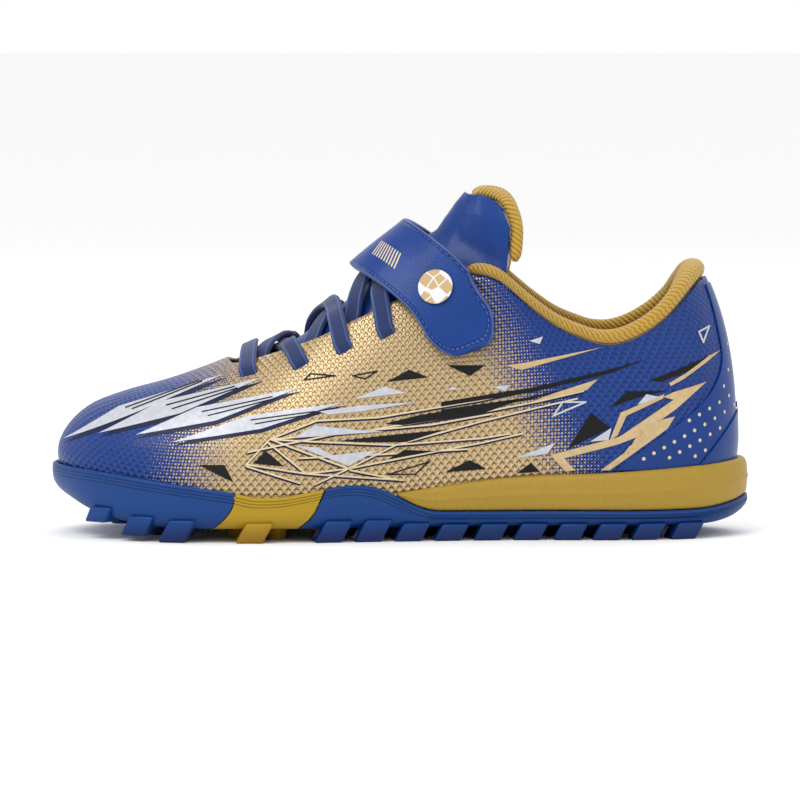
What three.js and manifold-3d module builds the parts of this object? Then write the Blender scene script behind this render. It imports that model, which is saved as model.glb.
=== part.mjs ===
// A child's turf soccer shoe with a hook-and-loop instep strap, as separate closed solids.
// Millimetres. +X runs from toe to heel, -Y is the outer (lateral) side, +Z is up, ground at z = 0.
import * as THREE from 'three';
import { mergeVertices } from 'three/addons/utils/BufferGeometryUtils.js';
import Module from 'manifold-3d';

const wasm = await Module();
wasm.setup();

// Overall sizes. The tables below are drawn on a last of LAST size and graded to these.
const LAST = { length: 232, width: 84, height: 115 };
const LENGTH = 232;
const WIDTH = 84;
const HEIGHT = 115;

// Clearances.
const GAP = 0.3;                  // between two pieces that touch
const SEAT = 0.6;                 // between the leather and what is sewn or pressed on it
const HINGE_GAP = 0.6;            // between two leaves that turn on each other

// Sole.
const STUD_HEIGHT = 4.5;
const STUD_RADIUS = 3.6;
const STUD_PITCH = 13;
const LUG_WIDTH = 8;
const WEB = 3;                    // outsole rubber above the studs
const CUP_WALL = 3.4;             // outsole wall round the forefoot
const MIDSOLE_FLOOR = 2.4;
const BOARD = 1.5;
const SOCK_LINER = 3;

// Upper and its layers, all thicknesses.
const UPPER = 1.4;
const STIFFENER = 0.8;
const LINING = 0.8;
const COLLAR_FOAM = 3.6;
const OVERLAY = 0.5;
const COLLAR_ROLL = { front: 2.2, heel: 4.1, height: 0.78 };

// Tongue.
const TONGUE_FACE = 1.2;
const TONGUE_FOAM = 2.4;
const TONGUE_LINING = 0.7;
const TONGUE_BINDING = 2.0;

// Lace and strap.
const LACE = { width: 6, thick: 1.6 };
const LACE_LIFT = LACE.width ** 2 / 80;    // so the borders of a flat lace clear the curve
const SLOT_CLEAR = 0.7;
const STRAP = { width: 23.5, thick: 2.4 };
const PATCH = { width: 19, loop: 0.8, hook: 0.8 };

const HALF_PI = Math.PI / 2;
const kx = LENGTH / LAST.length;
const ky = WIDTH / LAST.width;
const kz = HEIGHT / LAST.height;

// ---------------------------------------------------------------- curves and tables

const clamp = (value, low, high) => Math.min(high, Math.max(low, value));
const smooth = (value, from, to) => {
  const s = clamp((value - from) / (to - from), 0, 1);
  return s * s * (3 - 2 * s);
};

// A smooth curve through rows of [key, value, value, ...]; gives the values at a key.
function curve(rows) {
  const last = rows.length - 1;
  const slopes = rows.map((row, i) => {
    const before = rows[Math.max(0, i - 1)];
    const after = rows[Math.min(last, i + 1)];
    return row.map((_, k) => (after[k] - before[k]) / (after[0] - before[0]));
  });
  return (key) => {
    const x = clamp(key, rows[0][0], rows[last][0]);
    const j = Math.max(1, rows.findIndex((row) => row[0] >= x));
    const [a, b] = [rows[j - 1], rows[j]];
    const d = b[0] - a[0];
    const s = (x - a[0]) / d;
    const [s2, s3] = [s * s, s * s * s];
    return a.slice(1).map((value, i) => {
      const k = i + 1;
      return (2 * s3 - 3 * s2 + 1) * value + (s3 - 2 * s2 + s) * d * slopes[j - 1][k]
        + (3 * s2 - 2 * s3) * b[k] + (s3 - s2) * d * slopes[j][k];
    });
  };
}

// A height along the shoe, from rows of [x, z] drawn on the last.
const heightCurve = (rows) => {
  const at = curve(rows);
  return (x) => at(x / kx)[0] * kz;
};

// A place along the shoe at a height in its side view, from rows of [z, x] drawn on the last.
const sideLine = (rows) => {
  const at = curve(rows);
  return (z) => at(z / kz)[0] * kx;
};

// A station t runs from 0 at the toe tip to 1 at the heel tip, closer together at both tips.
const stationAt = (x) => Math.acos(clamp(-2 * x / LENGTH, -1, 1)) / Math.PI;
const byStation = (rows) => curve(rows.map(([x, ...values]) => [stationAt(x * kx), ...values]));

// Half widths of the sole on the lateral and the medial side, [x, lateral, medial].
const halfWidths = byStation([
  [-116, 0, 0], [-112, 13, 17], [-100, 27, 30.5], [-80, 38, 38.4], [-58, 42, 42.2],
  [-35, 41.4, 37.5], [0, 35.5, 30], [40, 31, 29.5], [75, 31, 30], [100, 24.5, 23.5],
  [112, 13, 13], [116, 0, 0],
]);

// Ribs of the last, from the feather edge at the sole up to the ridge line or the ankle:
// [x at the sole, top x, top z, top half width, side fullness, ridge roundness, lean].
const ribs = byStation([
  [-116, -97, 45.4, 0, 2.9, 2.2, 0.33],
  [-100, -88, 48.3, 0, 2.5, 2.1, 0.3],
  [-80, -74, 52.2, 0, 2.2, 2.0, 0.3],
  [-60, -57, 58.6, 0, 1.9, 1.9, 0.2],
  [-40, -38, 67.5, 0, 1.55, 1.8, 0.1],
  [-25, -22, 79.5, 0, 1.5, 1.8, 0],
  [-10, -7, 92, 0, 1.5, 1.8, 0],
  [4, 8, 104, 0, 1.5, 1.8, 0],
  [16, 21.5, 118.5, 0, 1.55, 1.8, 0],
  [22, 28, 125, 0, 1.6, 1.8, 0],
  [28, 34, 129, 7, 1.7, 1.7, 0],
  [40, 40, 130, 12, 1.9, 1.6, 0],
  [60, 46, 130, 14, 2.2, 1.4, 0],
  [80, 49, 130, 12, 2.6, 1.3, 0],
  [100, 51, 130, 7, 2.9, 1.3, 0],
  [116, 52, 130, 0, 3, 1.3, 0],
]);

// Heights along the shoe.
const studZ = heightCurve([[-116, 16], [-112, 13.6], [-103, 8.2], [-94, 4.4], [-84, 1.6], [-74, 0.2],
  [-68, 0], [-60, 0], [90, 0], [98, 0], [104, 0.7], [110, 3.2], [116, 7]]);
const webRise = heightCurve([[-116, 15.2], [-112, 13.8], [-103, 9.6], [-94, 7], [-84, 5.2], [-74, 4.6],
  [-68, 4.5], [-60, 4.5], [90, 4.5], [98, 4.5], [104, 4.9], [110, 6.2], [116, 8.6]]);
const webZ = (x) => webRise(x) + (STUD_HEIGHT - 4.5);
const heelRise = (x) => 6.7 * smooth(x / kx, -40, 70);
const featherZ = (x) => webZ(x) + WEB + MIDSOLE_FLOOR + 3 * GAP + heelRise(x) * kz;
const outsoleTopZ = heightCurve([[-116, 23.6], [-99, 22.4], [-86, 20.8], [-69, 18.6], [-54, 16.5],
  [-48, 15.2], [-39, 15.2], [-31, 16.4], [-24.6, 17.6], [-19, 18.6], [-14, 18.8], [-9, 18.2],
  [-4.5, 16.6], [-0.5, 14.8], [4, 12.3], [9, 10.4], [14, 9.8], [60, 9.7], [98, 9.8], [109, 11.2],
  [116, 13.4]]);
const midsoleTopZ = heightCurve([[-12, 13], [-4, 15], [0, 16], [16, 18.4], [33, 20.4], [50, 21.5],
  [65, 22], [82, 23], [97, 24], [116, 25.4]]);

// Edges of the upper seen from the side: throat, then collar. Ahead of the throat it is closed.
const THROAT_START = -57;
const throatEdge = heightCurve([[-60, 64], [THROAT_START, 58.2], [-54.5, 57.2], [-45.5, 59.5],
  [-34, 63.4], [-28, 65.6], [-18, 70.4], [0, 79], [12, 84.4], [22, 86.6], [28, 86.4], [33, 84.4],
  [39.8, 78.9], [44.8, 74.8], [52.3, 69.6], [60, 66.2], [65, 64.6], [71, 64.4], [77.6, 66.3],
  [85, 70.4], [90.3, 74.8], [95.3, 80.2], [100.4, 84.8], [108, 86]]);
const COLLAR_FRONT = 20;          // the collar roll starts here

// ---------------------------------------------------------------- the last

// A point of the sole outline, set in by an amount along the outline's own normal.
function outline(side, t, inset) {
  const step = 1e-4;
  const at = (u) => {
    const v = u < 0 ? -u : u > 1 ? 2 - u : u;
    const half = halfWidths(v)[side < 0 ? 0 : 1] * ky;
    return [-0.5 * LENGTH * Math.cos(Math.PI * v), (u === v ? side : -side) * half];
  };
  const [p, a, b] = [at(t), at(t - step), at(t + step)];
  const [dx, dy] = [b[0] - a[0], b[1] - a[1]];
  const scale = side * inset / Math.hypot(dx, dy);
  return [p[0] + dy * scale, p[1] - dx * scale];
}

// How far the upper's side stands inside the sole's edge, and how it turns in under the foot.
const sideInset = byStation([[-116, 1.3], [-80, 1.8], [0, 2], [85, 2.4], [116, 4.3]]);
const TUCK = 2;
const TUCK_HEIGHT = 14;

// The outside of the upper. q runs from 0 at the feather edge to 1 on the ridge line, and on to 2
// down the other side; past a tip, t carries on round the other side too.
function skin(side, t, q) {
  if (t < 0) return skin(-side, -t, q);
  if (t > 1) return skin(-side, 2 - t, q);
  if (q > 1) return skin(-side, t, 2 - q);
  const [topX, topZ, topW, fullness, roundness, lean] = ribs(t);
  const up = Math.sin(q * HALF_PI) ** (2 / fullness);
  const over = 1 - Math.cos(q * HALF_PI) ** (2 / roundness);
  const foot = featherZ(outline(side, t, sideInset(t)[0] + TUCK)[0]);
  const rise = (topZ * kz - foot) * up;
  const tuck = (1 - clamp(rise / TUCK_HEIGHT, 0, 1)) ** 2;
  const [x, y] = outline(side, t, sideInset(t)[0] + TUCK * tuck);
  const dx = (topX * kx - x) * over;
  const dy = (side * Math.max(0, topW) * ky - y) * over;
  return new THREE.Vector3(x + dx, y + dy, foot + rise + lean * (x + dx - topX * kx) * up);
}

// The skin's frame at a point: along the shoe, up the side, and outwards.
function skinFrame(side, t, q) {
  const step = 2e-3;
  const low = Math.max(q - step, 1e-4);
  const along = skin(side, t + step, q).sub(skin(side, t - step, q));
  const upward = skin(side, t, q + step).sub(skin(side, t, low));
  const out = new THREE.Vector3().crossVectors(along, upward).multiplyScalar(-side);
  if (t <= 0 || t >= 1 || Math.abs(q - 1) < 1e-9) out.y = 0;
  return { along: along.normalize(), upward: upward.normalize(), out: out.normalize() };
}

// A point above the skin (or below it, for a negative lift).
const above = (side, t, q, lift) => skin(side, t, q).addScaledVector(skinFrame(side, t, q).out, lift);

// Where the skin passes a height given as a curve over x, walking up rib t; 1 on the ridge.
function ribReaches(side, t, height, lift = 0) {
  const below = (q) => {
    const p = above(side, t, q, lift);
    return p.z < height(p.x);
  };
  if (below(0.9999)) return 1;
  let [low, high] = [0, 1];
  for (let i = 0; i < 36; i += 1) {
    const middle = (low + high) / 2;
    if (below(middle)) low = middle;
    else high = middle;
  }
  return low;
}

// The station and height on one side of the skin whose side view is at (x, z).
function onSkin(side, x, z) {
  let [t, q] = [stationAt(x), 0.5];
  const step = 1e-3;
  for (let i = 0; i < 30; i += 1) {
    const p = skin(side, t, q);
    const a = skin(side, t + step, q).sub(p).divideScalar(step);
    const b = skin(side, t, q + step).sub(p).divideScalar(step);
    const [ex, ez] = [x - p.x, z - p.z];
    const det = a.x * b.z - b.x * a.z;
    t = clamp(t + clamp((ex * b.z - b.x * ez) / det, -0.05, 0.05), 0.01, 0.99);
    q = clamp(q + clamp((a.x * ez - ex * a.z) / det, -0.1, 0.1), 0.02, 0.98);
  }
  return [t, q];
}

// The station and height of the skin point nearest to a point near it.
function nearestOnSkin(point, t0, q0) {
  let [t, q] = [t0, q0];
  const step = 1e-3;
  for (let i = 0; i < 8; i += 1) {
    const p = skin(-1, t, q);
    const a = skin(-1, t + step, q).sub(skin(-1, t - step, q)).divideScalar(2 * step);
    const b = skin(-1, t, q + step).sub(skin(-1, t, q - step)).divideScalar(2 * step);
    const gap = point.clone().sub(p);
    const [aa, ab, bb, ag, bg] = [a.dot(a), a.dot(b), b.dot(b), a.dot(gap), b.dot(gap)];
    const det = aa * bb - ab * ab;
    t += clamp((ag * bb - ab * bg) / det, -0.04, 0.04);
    q += clamp((aa * bg - ab * ag) / det, -0.08, 0.08);
  }
  return [t, q];
}

// ---------------------------------------------------------------- solids from grids

// The volume inside a closed mesh, negative where its faces point inwards.
function volume(geometry) {
  const [a, b, c] = [new THREE.Vector3(), new THREE.Vector3(), new THREE.Vector3()];
  const { array } = geometry.index;
  let sum = 0;
  for (let i = 0; i < array.length; i += 3) {
    [a, b, c].forEach((corner, k) => corner.fromBufferAttribute(geometry.attributes.position, array[i + k]));
    sum += a.dot(b.cross(c)) / 6;
  }
  return sum;
}

// Collects quads, and gives one closed mesh with its shared corners merged and faces outwards.
class Shell {
  constructor() {
    this.corners = [];
  }

  triangle(a, b, c) {
    const tiny = 1e-4;
    if (a.distanceTo(b) < tiny || b.distanceTo(c) < tiny || c.distanceTo(a) < tiny) return;
    this.corners.push(...a, ...b, ...c);
  }

  quad(a, b, c, d, flip = false) {
    if (flip) {
      this.quad(d, c, b, a);
      return;
    }
    this.triangle(a, b, c);
    this.triangle(a, c, d);
  }

  geometry() {
    const raw = new THREE.BufferGeometry();
    raw.setAttribute('position', new THREE.Float32BufferAttribute(this.corners, 3));
    const merged = mergeVertices(raw, 1e-3);
    if (volume(merged) < 0) merged.index.array.reverse();
    return merged;
  }
}

const steps = (count, from = 0, to = 1) =>
  Array.from({ length: count + 1 }, (_, i) => from + (to - from) * i / count);

// A solid made of level loops round the shoe, bottom first. Each level gives a point from
// (side, t); the bottom and the top loops are closed across.
function loopSolid(levels, stations = steps(28)) {
  const shell = new Shell();
  const count = stations.length - 1;
  const loops = levels.map((level) => [-1, 1].map((side) => stations.map((t) => level(side, t))));
  for (let i = 0; i < count; i += 1) {
    for (let k = 1; k < loops.length; k += 1) {
      [0, 1].forEach((s) => {
        const [low, high] = [loops[k - 1][s], loops[k][s]];
        shell.quad(low[i], low[i + 1], high[i + 1], high[i], s === 1);
      });
    }
    const [bottom, top] = [loops[0], loops.at(-1)];
    shell.quad(bottom[0][i + 1], bottom[0][i], bottom[1][i], bottom[1][i + 1]);
    shell.quad(top[0][i], top[0][i + 1], top[1][i + 1], top[1][i]);
  }
  return shell.geometry();
}

// A level loop: the outline set in, at a height that depends on x.
const level = (inset, z) => (side, t) => {
  const [x, y] = outline(side, t, typeof inset === 'function' ? inset(t) : inset);
  return new THREE.Vector3(x, y, z(x));
};

// A layer of the upper between two depths, over the ribs at the given stations. low and high
// give its edges on a rib as q; where high reaches 1 both sides join along the ridge.
function layer({ stations, low, high, outer, inner, rows, closedToe = false, closedHeel = false }) {
  const shell = new Shell();
  const sides = [-1, 1].map((side) => stations.map((t) => {
    const [from, to] = [low(side, t), high(side, t)];
    const column = steps(rows, from, to);
    return {
      joined: to >= 1,
      out: column.map((q) => above(side, t, q, outer)),
      in: column.map((q) => above(side, t, q, inner)),
    };
  }));
  sides.forEach((columns, s) => {
    const flip = s === 1;
    for (let i = 0; i + 1 < columns.length; i += 1) {
      const [a, b] = [columns[i], columns[i + 1]];
      for (let j = 0; j < rows; j += 1) {
        shell.quad(a.out[j], b.out[j], b.out[j + 1], a.out[j + 1], flip);
        shell.quad(b.in[j + 1], b.in[j], a.in[j], a.in[j + 1], flip);
      }
      shell.quad(a.out[0], a.in[0], b.in[0], b.out[0], flip);
      if (!(a.joined && b.joined)) {
        shell.quad(a.out[rows], b.out[rows], b.in[rows], a.in[rows], flip);
      }
    }
    const [first, last] = [columns[0], columns.at(-1)];
    for (let j = 0; j < rows; j += 1) {
      if (!closedToe) shell.quad(first.out[j], first.out[j + 1], first.in[j + 1], first.in[j], flip);
      if (!closedHeel) shell.quad(last.out[j + 1], last.out[j], last.in[j], last.in[j + 1], flip);
    }
  });
  return shell.geometry();
}

// A plate between two equal grids of points, with a rim all round.
function plate(top, bottom) {
  const shell = new Shell();
  const [rows, columns] = [top.length - 1, top[0].length - 1];
  for (let i = 0; i < rows; i += 1) {
    for (let j = 0; j < columns; j += 1) {
      shell.quad(top[i][j], top[i + 1][j], top[i + 1][j + 1], top[i][j + 1]);
      shell.quad(bottom[i][j], bottom[i][j + 1], bottom[i + 1][j + 1], bottom[i + 1][j]);
    }
    shell.quad(top[i + 1][0], top[i][0], bottom[i][0], bottom[i + 1][0]);
    shell.quad(top[i][columns], top[i + 1][columns], bottom[i + 1][columns], bottom[i][columns]);
  }
  for (let j = 0; j < columns; j += 1) {
    shell.quad(top[0][j], top[0][j + 1], bottom[0][j + 1], bottom[0][j]);
    shell.quad(top[rows][j + 1], top[rows][j], bottom[rows][j], bottom[rows][j + 1]);
  }
  return shell.geometry();
}

// A bar swept through rings of points, each ring ordered the same way, with flat ends.
function sweep(rings) {
  const shell = new Shell();
  const sides = rings[0].length;
  for (let i = 0; i + 1 < rings.length; i += 1) {
    for (let j = 0; j < sides; j += 1) {
      const k = (j + 1) % sides;
      shell.quad(rings[i][j], rings[i][k], rings[i + 1][k], rings[i + 1][j]);
    }
  }
  for (let j = 1; j + 1 < sides; j += 1) {
    shell.triangle(rings[0][0], rings[0][j + 1], rings[0][j]);
    shell.triangle(rings.at(-1)[0], rings.at(-1)[j], rings.at(-1)[j + 1]);
  }
  return shell.geometry();
}

// An ellipse of points about a centre, across two directions.
const ellipse = (centre, across, radiusA, upward, radiusB, sides) => steps(sides - 1).map((_, i) => {
  const angle = 2 * Math.PI * i / sides;
  return centre.clone().addScaledVector(across, radiusA * Math.cos(angle))
    .addScaledVector(upward, radiusB * Math.sin(angle));
});

// ---------------------------------------------------------------- joins and cuts

function toSolid(geometry) {
  const plain = geometry.index ? geometry.clone() : mergeVertices(geometry.clone(), 1e-3);
  return new wasm.Manifold(new wasm.Mesh({
    numProp: 3,
    vertProperties: new Float32Array(plain.attributes.position.array),
    triVerts: new Uint32Array(plain.index.array),
  }));
}

function fromSolid(solid) {
  const mesh = solid.getMesh();
  const geometry = new THREE.BufferGeometry();
  geometry.setAttribute('position', new THREE.BufferAttribute(mesh.vertProperties, 3));
  geometry.setIndex(new THREE.BufferAttribute(mesh.triVerts, 1));
  return geometry;
}

// A stock three.js geometry with only its merged corners left.
function bare(geometry) {
  geometry.deleteAttribute('normal');
  geometry.deleteAttribute('uv');
  return mergeVertices(geometry, 1e-3);
}

// A prism right across the shoe whose side view is an outline of [x, z] points.
function prism(points) {
  const shape = new THREE.Shape(points.map(([x, z]) => new THREE.Vector2(x, z)));
  const geometry = new THREE.ExtrudeGeometry(shape, { depth: 2 * WIDTH, bevelEnabled: false });
  geometry.rotateX(HALF_PI);
  geometry.translate(0, WIDTH, 0);
  return toSolid(bare(geometry));
}

// ---------------------------------------------------------------- edges and stations

// The station at which a height, falling below the ridge line, first opens the skin.
function opensAt(height, lift, fromX, toX) {
  let [low, high] = [stationAt(fromX * kx), stationAt(toX * kx)];
  for (let i = 0; i < 40; i += 1) {
    const middle = (low + high) / 2;
    if (ribReaches(-1, middle, height, lift) >= 1) low = middle;
    else high = middle;
  }
  return low;
}

// A layer's top edge along a height: closed over the ridge up to a station, open after it.
const topEdge = (height, lift, closedTo) => (side, t) =>
  (t <= closedTo ? 1 : ribReaches(side, t, height, lift));

const throatOpens = opensAt(throatEdge, 0, -80, -40);
const upperTop = topEdge(throatEdge, 0, throatOpens);

// Ribs at which every layer of the upper has its corners, so that the layers stay parallel.
const FOREFOOT_RIBS = 10;
const REAR_RIBS = 21;
const ringStations = [
  ...steps(FOREFOOT_RIBS, 0, throatOpens).slice(0, -1),
  ...steps(REAR_RIBS).map((s) => throatOpens + (1 - throatOpens) * s ** 1.2),
];
const ribsBetween = (from, to) => [
  from, ...ringStations.filter((t) => t > from + 4e-3 && t < to - 4e-3), to,
];

// ---------------------------------------------------------------- sole

const MIDSOLE_FRONT = 0;          // the gold side of the midsole starts here
const TOE_SPLIT = [[30, -53], [16.8, -54], [11.5, -55], [7, -58.5], [3.5, -63], [-4, -68]];
const REAR_SPLIT = [[30, -23], [17.5, -24.6], [14, -26], [9, -28.5], [5, -32.5], [1, -37], [-4, -40]];

// The space that the closed upper takes, with a clearance round it.
function footSpace() {
  const heights = [0.06, 0.12, 0.18, 0.25, 0.33, 0.42];
  const sole = (side, t) => above(side, t, 0, GAP).add(new THREE.Vector3(0, 0, -GAP));
  const levels = [sole, ...heights.map((q) => (side, t) => above(side, t, q, SEAT + 0.1))];
  return toSolid(loopSolid(levels, ringStations));
}

// The midsole: a floor inside the outsole's wall, and a full-width wedge from the waist back.
function midsoleBlank(grow) {
  const floorInset = CUP_WALL + GAP - grow;
  const floor = toSolid(loopSolid([
    level(floorInset + 0.6, (x) => webZ(x) + WEB + GAP - grow),
    level(floorInset, (x) => webZ(x) + WEB + GAP + 0.8),
    level(floorInset, (x) => featherZ(x) - GAP + grow),
  ]));
  const bottom = (x) => outsoleTopZ(x) + GAP - grow;
  const top = (x) => Math.max(midsoleTopZ(x) + grow, bottom(x) + 0.5);
  const part = (share) => (x) => bottom(x) + share * (top(x) - bottom(x));
  const rim = toSolid(loopSolid([
    level(1.6 - grow, part(0)), level(0.7 - grow, part(0.12)), level(0.3 - grow, part(0.45)),
    level(0.7 - grow, part(0.85)), level(2.1 - grow, part(1)),
  ]));
  const front = (MIDSOLE_FRONT - grow) * kx;
  const behind = prism([[front, -20], [LENGTH, -20], [LENGTH, HEIGHT], [front, HEIGHT]]);
  return floor.add(rim.intersect(behind));
}

// Turf studs inside the rim and slanted lugs along it, all standing on the ground plane.
function studs() {
  const made = [];
  const put = (geometry, x, y, height, turn) => {
    const place = new THREE.Matrix4().makeRotationZ(turn).setPosition(x, y, studZ(x) + height / 2);
    made.push({ x, solid: toSolid(bare(geometry).applyMatrix4(place)) });
  };
  const rooted = (x) => webZ(x) + 1.2 - studZ(x);
  const rows = Math.floor(0.82 * LENGTH / STUD_PITCH);
  for (let row = 0; row < rows; row += 1) {
    const x = -0.4 * LENGTH + row * STUD_PITCH;
    [-1, 1].forEach((side) => {
      const room = halfWidths(stationAt(x))[side < 0 ? 0 : 1] * ky - LUG_WIDTH - 2.2 * STUD_RADIUS;
      for (let y = (row % 2 ? 0.5 : side < 0 ? 1 : 0) * STUD_PITCH; y < room; y += STUD_PITCH) {
        const stud = new THREE.CylinderGeometry(STUD_RADIUS * 1.25, STUD_RADIUS * 0.8, rooted(x), 6);
        put(stud.rotateX(HALF_PI), x, side * y, rooted(x), 0.3);
      }
    });
  }
  for (let x = -0.43 * LENGTH; x < 0.46 * LENGTH; x += STUD_PITCH) {
    [-1, 1].forEach((side) => {
      const t = stationAt(x);
      const [px, py] = outline(side, t, 0.9 + LUG_WIDTH / 2);
      const [ax, ay] = outline(side, t - 0.01, 0);
      const [bx, by] = outline(side, t + 0.01, 0);
      const lug = new THREE.BoxGeometry(LUG_WIDTH, LUG_WIDTH, rooted(px));
      const { position } = lug.attributes;
      for (let i = 0; i < position.count; i += 1) {
        position.setX(i, position.getX(i) * (position.getZ(i) > 0 ? 1.1 : 0.8) + 0.5 * position.getZ(i));
      }
      put(lug, px, py, rooted(px), Math.atan2(by - ay, bx - ax));
    });
  }
  return made;
}

function outsoleSections() {
  const part = (share) => (x) => webZ(x) + share * (outsoleTopZ(x) - webZ(x));
  const blank = toSolid(loopSolid([
    level(4.2, part(0)), level(1.4, part(0.22)), level(0.3, part(0.5)), level(0.3, part(0.88)),
    level(0.9, part(1)),
  ])).subtract(midsoleBlank(GAP)).subtract(footSpace());
  const line = (points, shift) => points.map(([z, x]) => [x * kx + shift, z * kz]);
  const ahead = (points) => prism([...line(points, -GAP / 2), [-LENGTH, -4 * kz], [-LENGTH, 30 * kz]]);
  const behind = (points) => prism([...line(points, GAP / 2), [LENGTH, -4 * kz], [LENGTH, 30 * kz]]);
  const sections = {
    toe: blank.intersect(ahead(TOE_SPLIT)),
    band: blank.intersect(behind(TOE_SPLIT)).intersect(ahead(REAR_SPLIT)),
    rear: blank.intersect(behind(REAR_SPLIT)),
  };
  // A stud belongs to the section over it, and none is made where it would stand in a split.
  const [toeX, rearX] = [TOE_SPLIT, REAR_SPLIT].map((points) => sideLine([...points].reverse())(4.5));
  const reach = 0.62 * LUG_WIDTH + GAP;
  studs().filter(({ x }) => Math.abs(x - toeX) > reach && Math.abs(x - rearX) > reach)
    .forEach(({ x, solid }) => {
      const name = x < toeX ? 'toe' : x < rearX ? 'band' : 'rear';
      sections[name] = sections[name].add(solid);
    });
  return sections;
}

// A board or liner that lies inside the upper.
const insoleInset = (t) => sideInset(t)[0] + TUCK + LINING_OUT + LINING + 2 * GAP;
const insole = (bottom, thickness) => loopSolid([
  level(insoleInset, bottom), level(insoleInset, (x) => bottom(x) + thickness(x)),
], steps(28));

// ---------------------------------------------------------------- upper and its layers

const LINING_OUT = UPPER + SEAT + STIFFENER + GAP;
const COLLAR_LINING_OUT = UPPER + COLLAR_FOAM + 2 * GAP;
// The lining stops under the lace slots, and again under the collar's padding.
const liningEdge = heightCurve([[-78, 64], [-72, 51.5], [-66, 45.5], [-57, 43.5], [-45, 45.5], [-34, 49.4],
  [-18, 56.4], [0, 64], [7, 65], [14, 57], [21, 48.4], [28, 48], [116, 48]]);
const PAD_FRONT = 41;             // the collar padding starts here
const PAD_LOW = 50;               // and reaches down to this height
const COUNTER = { front: 70, height: 46 };
const PUFF_BACK = -86;

// Four lace slots a side, from their places in the side view.
const EYELETS = [[-50.3, 55.2], [-33.4, 58.4], [-19, 63.8], [-5, 69]]
  .map(([x, z]) => onSkin(-1, x * kx, z * kz));
const LACE_TOP = LACE_LIFT + LACE.thick / 2;
const LACE_UNDER = -UPPER - LACE_TOP - GAP;
const HAIRPIN = (LACE_TOP - LACE_UNDER) / 2;

// The directions at a lace slot: along the slot, from it towards the throat, and outwards.
function slotFrame(side, [t, q]) {
  const { along, out } = skinFrame(side, t, q);
  return { along, out, inboard: out.clone().cross(along).multiplyScalar(-side).normalize() };
}

function slotCutter(side, [t, q]) {
  const { along, out, inboard } = slotFrame(side, [t, q]);
  const depth = HAIRPIN + LACE.thick / 2 + SLOT_CLEAR;
  const box = bare(new THREE.BoxGeometry(LACE.width + 2 * SLOT_CLEAR, depth, 12));
  const middle = skin(side, t, q).addScaledVector(inboard, -depth / 2);
  const place = new THREE.Matrix4().makeBasis(along, new THREE.Vector3().crossVectors(out, along), out);
  return toSolid(box.applyMatrix4(place.setPosition(middle)));
}

function upper() {
  let solid = toSolid(layer({
    stations: ringStations, low: () => 0, high: upperTop, outer: 0, inner: -UPPER, rows: 7,
    closedToe: true, closedHeel: true,
  }));
  EYELETS.forEach((eyelet) => {
    [-1, 1].forEach((side) => {
      solid = solid.subtract(slotCutter(side, eyelet));
    });
  });
  return fromSolid(solid);
}

function innerLining() {
  const opens = opensAt(liningEdge, -LINING_OUT, -85, -60);
  return layer({
    stations: ringStations, low: () => 0.002, high: topEdge(liningEdge, -LINING_OUT, opens),
    outer: -LINING_OUT, inner: -LINING_OUT - LINING, rows: 4, closedToe: true, closedHeel: true,
  });
}

function toePuff() {
  return layer({
    stations: ribsBetween(0, stationAt(PUFF_BACK * kx)), low: () => 0.14, high: () => 0.78,
    outer: -UPPER - SEAT, inner: -UPPER - SEAT - STIFFENER, rows: 5, closedToe: true,
  });
}

function heelCounter() {
  return layer({
    stations: ribsBetween(stationAt(COUNTER.front * kx), 1), low: () => 0.03,
    high: (side, t) => ribReaches(side, t, () => COUNTER.height * kz, -UPPER),
    outer: -UPPER - SEAT, inner: -UPPER - SEAT - STIFFENER, rows: 4, closedHeel: true,
  });
}

// A layer of the padded collar, between two depths.
const collarLayer = (lowZ, outer, thickness) => layer({
  stations: ribsBetween(stationAt(PAD_FRONT * kx), 1),
  low: (side, t) => ribReaches(side, t, () => lowZ, -outer),
  high: upperTop, outer: -outer, inner: -outer - thickness, rows: 4, closedHeel: true,
});

function collarRoll() {
  const start = stationAt(COLLAR_FRONT * kx);
  const half = ribsBetween(start, 1);
  const stations = [...half, ...half.slice(0, -1).reverse()];
  return sweep(stations.map((t, i) => {
    const side = i < half.length ? -1 : 1;
    const back = smooth((t - start) / (1 - start), 0.1, 0.95);
    const radius = COLLAR_ROLL.front + (COLLAR_ROLL.heel - COLLAR_ROLL.front) * back;
    const q = upperTop(side, t);
    const { upward, out } = skinFrame(side, t, q);
    const tall = radius * COLLAR_ROLL.height + 0.4;
    const middle = above(side, t, q, 1 - radius).addScaledVector(upward, tall + GAP);
    return ellipse(middle, out, radius, upward, tall, 8);
  }));
}

// Smooth overlays on the heel: a piece of the skin behind a line in the side view, [x, z].
const OVERLAY_FRONT = sideLine([[20, 67], [31.7, 82.7], [38.9, 92.9], [45.5, 100.5], [52.1, 104.9],
  [57.8, 106.4], [63.7, 105.9], [74.9, 103.5], [84.8, 100.4]]);
const CAP_FRONT = sideLine([[20, 94], [23.1, 97.4], [29.4, 102.8], [36, 108.1], [40.9, 111.4],
  [44.6, 113]]);

function heelPatch(line, lowZ, highZ, lift) {
  const grid = (height) => steps(9, lowZ, highZ).map((z) => {
    const at = (side, t) => above(side, t, ribReaches(side, t, () => z), height);
    const start = (side) => {
      let [low, high] = [stationAt(40 * kx), 1];
      for (let i = 0; i < 24; i += 1) {
        const middle = (low + high) / 2;
        if (at(side, middle).x < line(z)) low = middle;
        else high = middle;
      }
      return low;
    };
    const columns = (side) => {
      const from = start(side);
      const shared = ringStations.filter((t) => t > stationAt(line(lowZ)) + 4e-3);
      return shared.map((t, i) => at(side, from + (1 - from) * i / (shared.length - 1)));
    };
    return [...columns(-1), ...columns(1).reverse().slice(1)];
  });
  return plate(grid(lift + OVERLAY), grid(lift));
}

// ---------------------------------------------------------------- tongue

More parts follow.
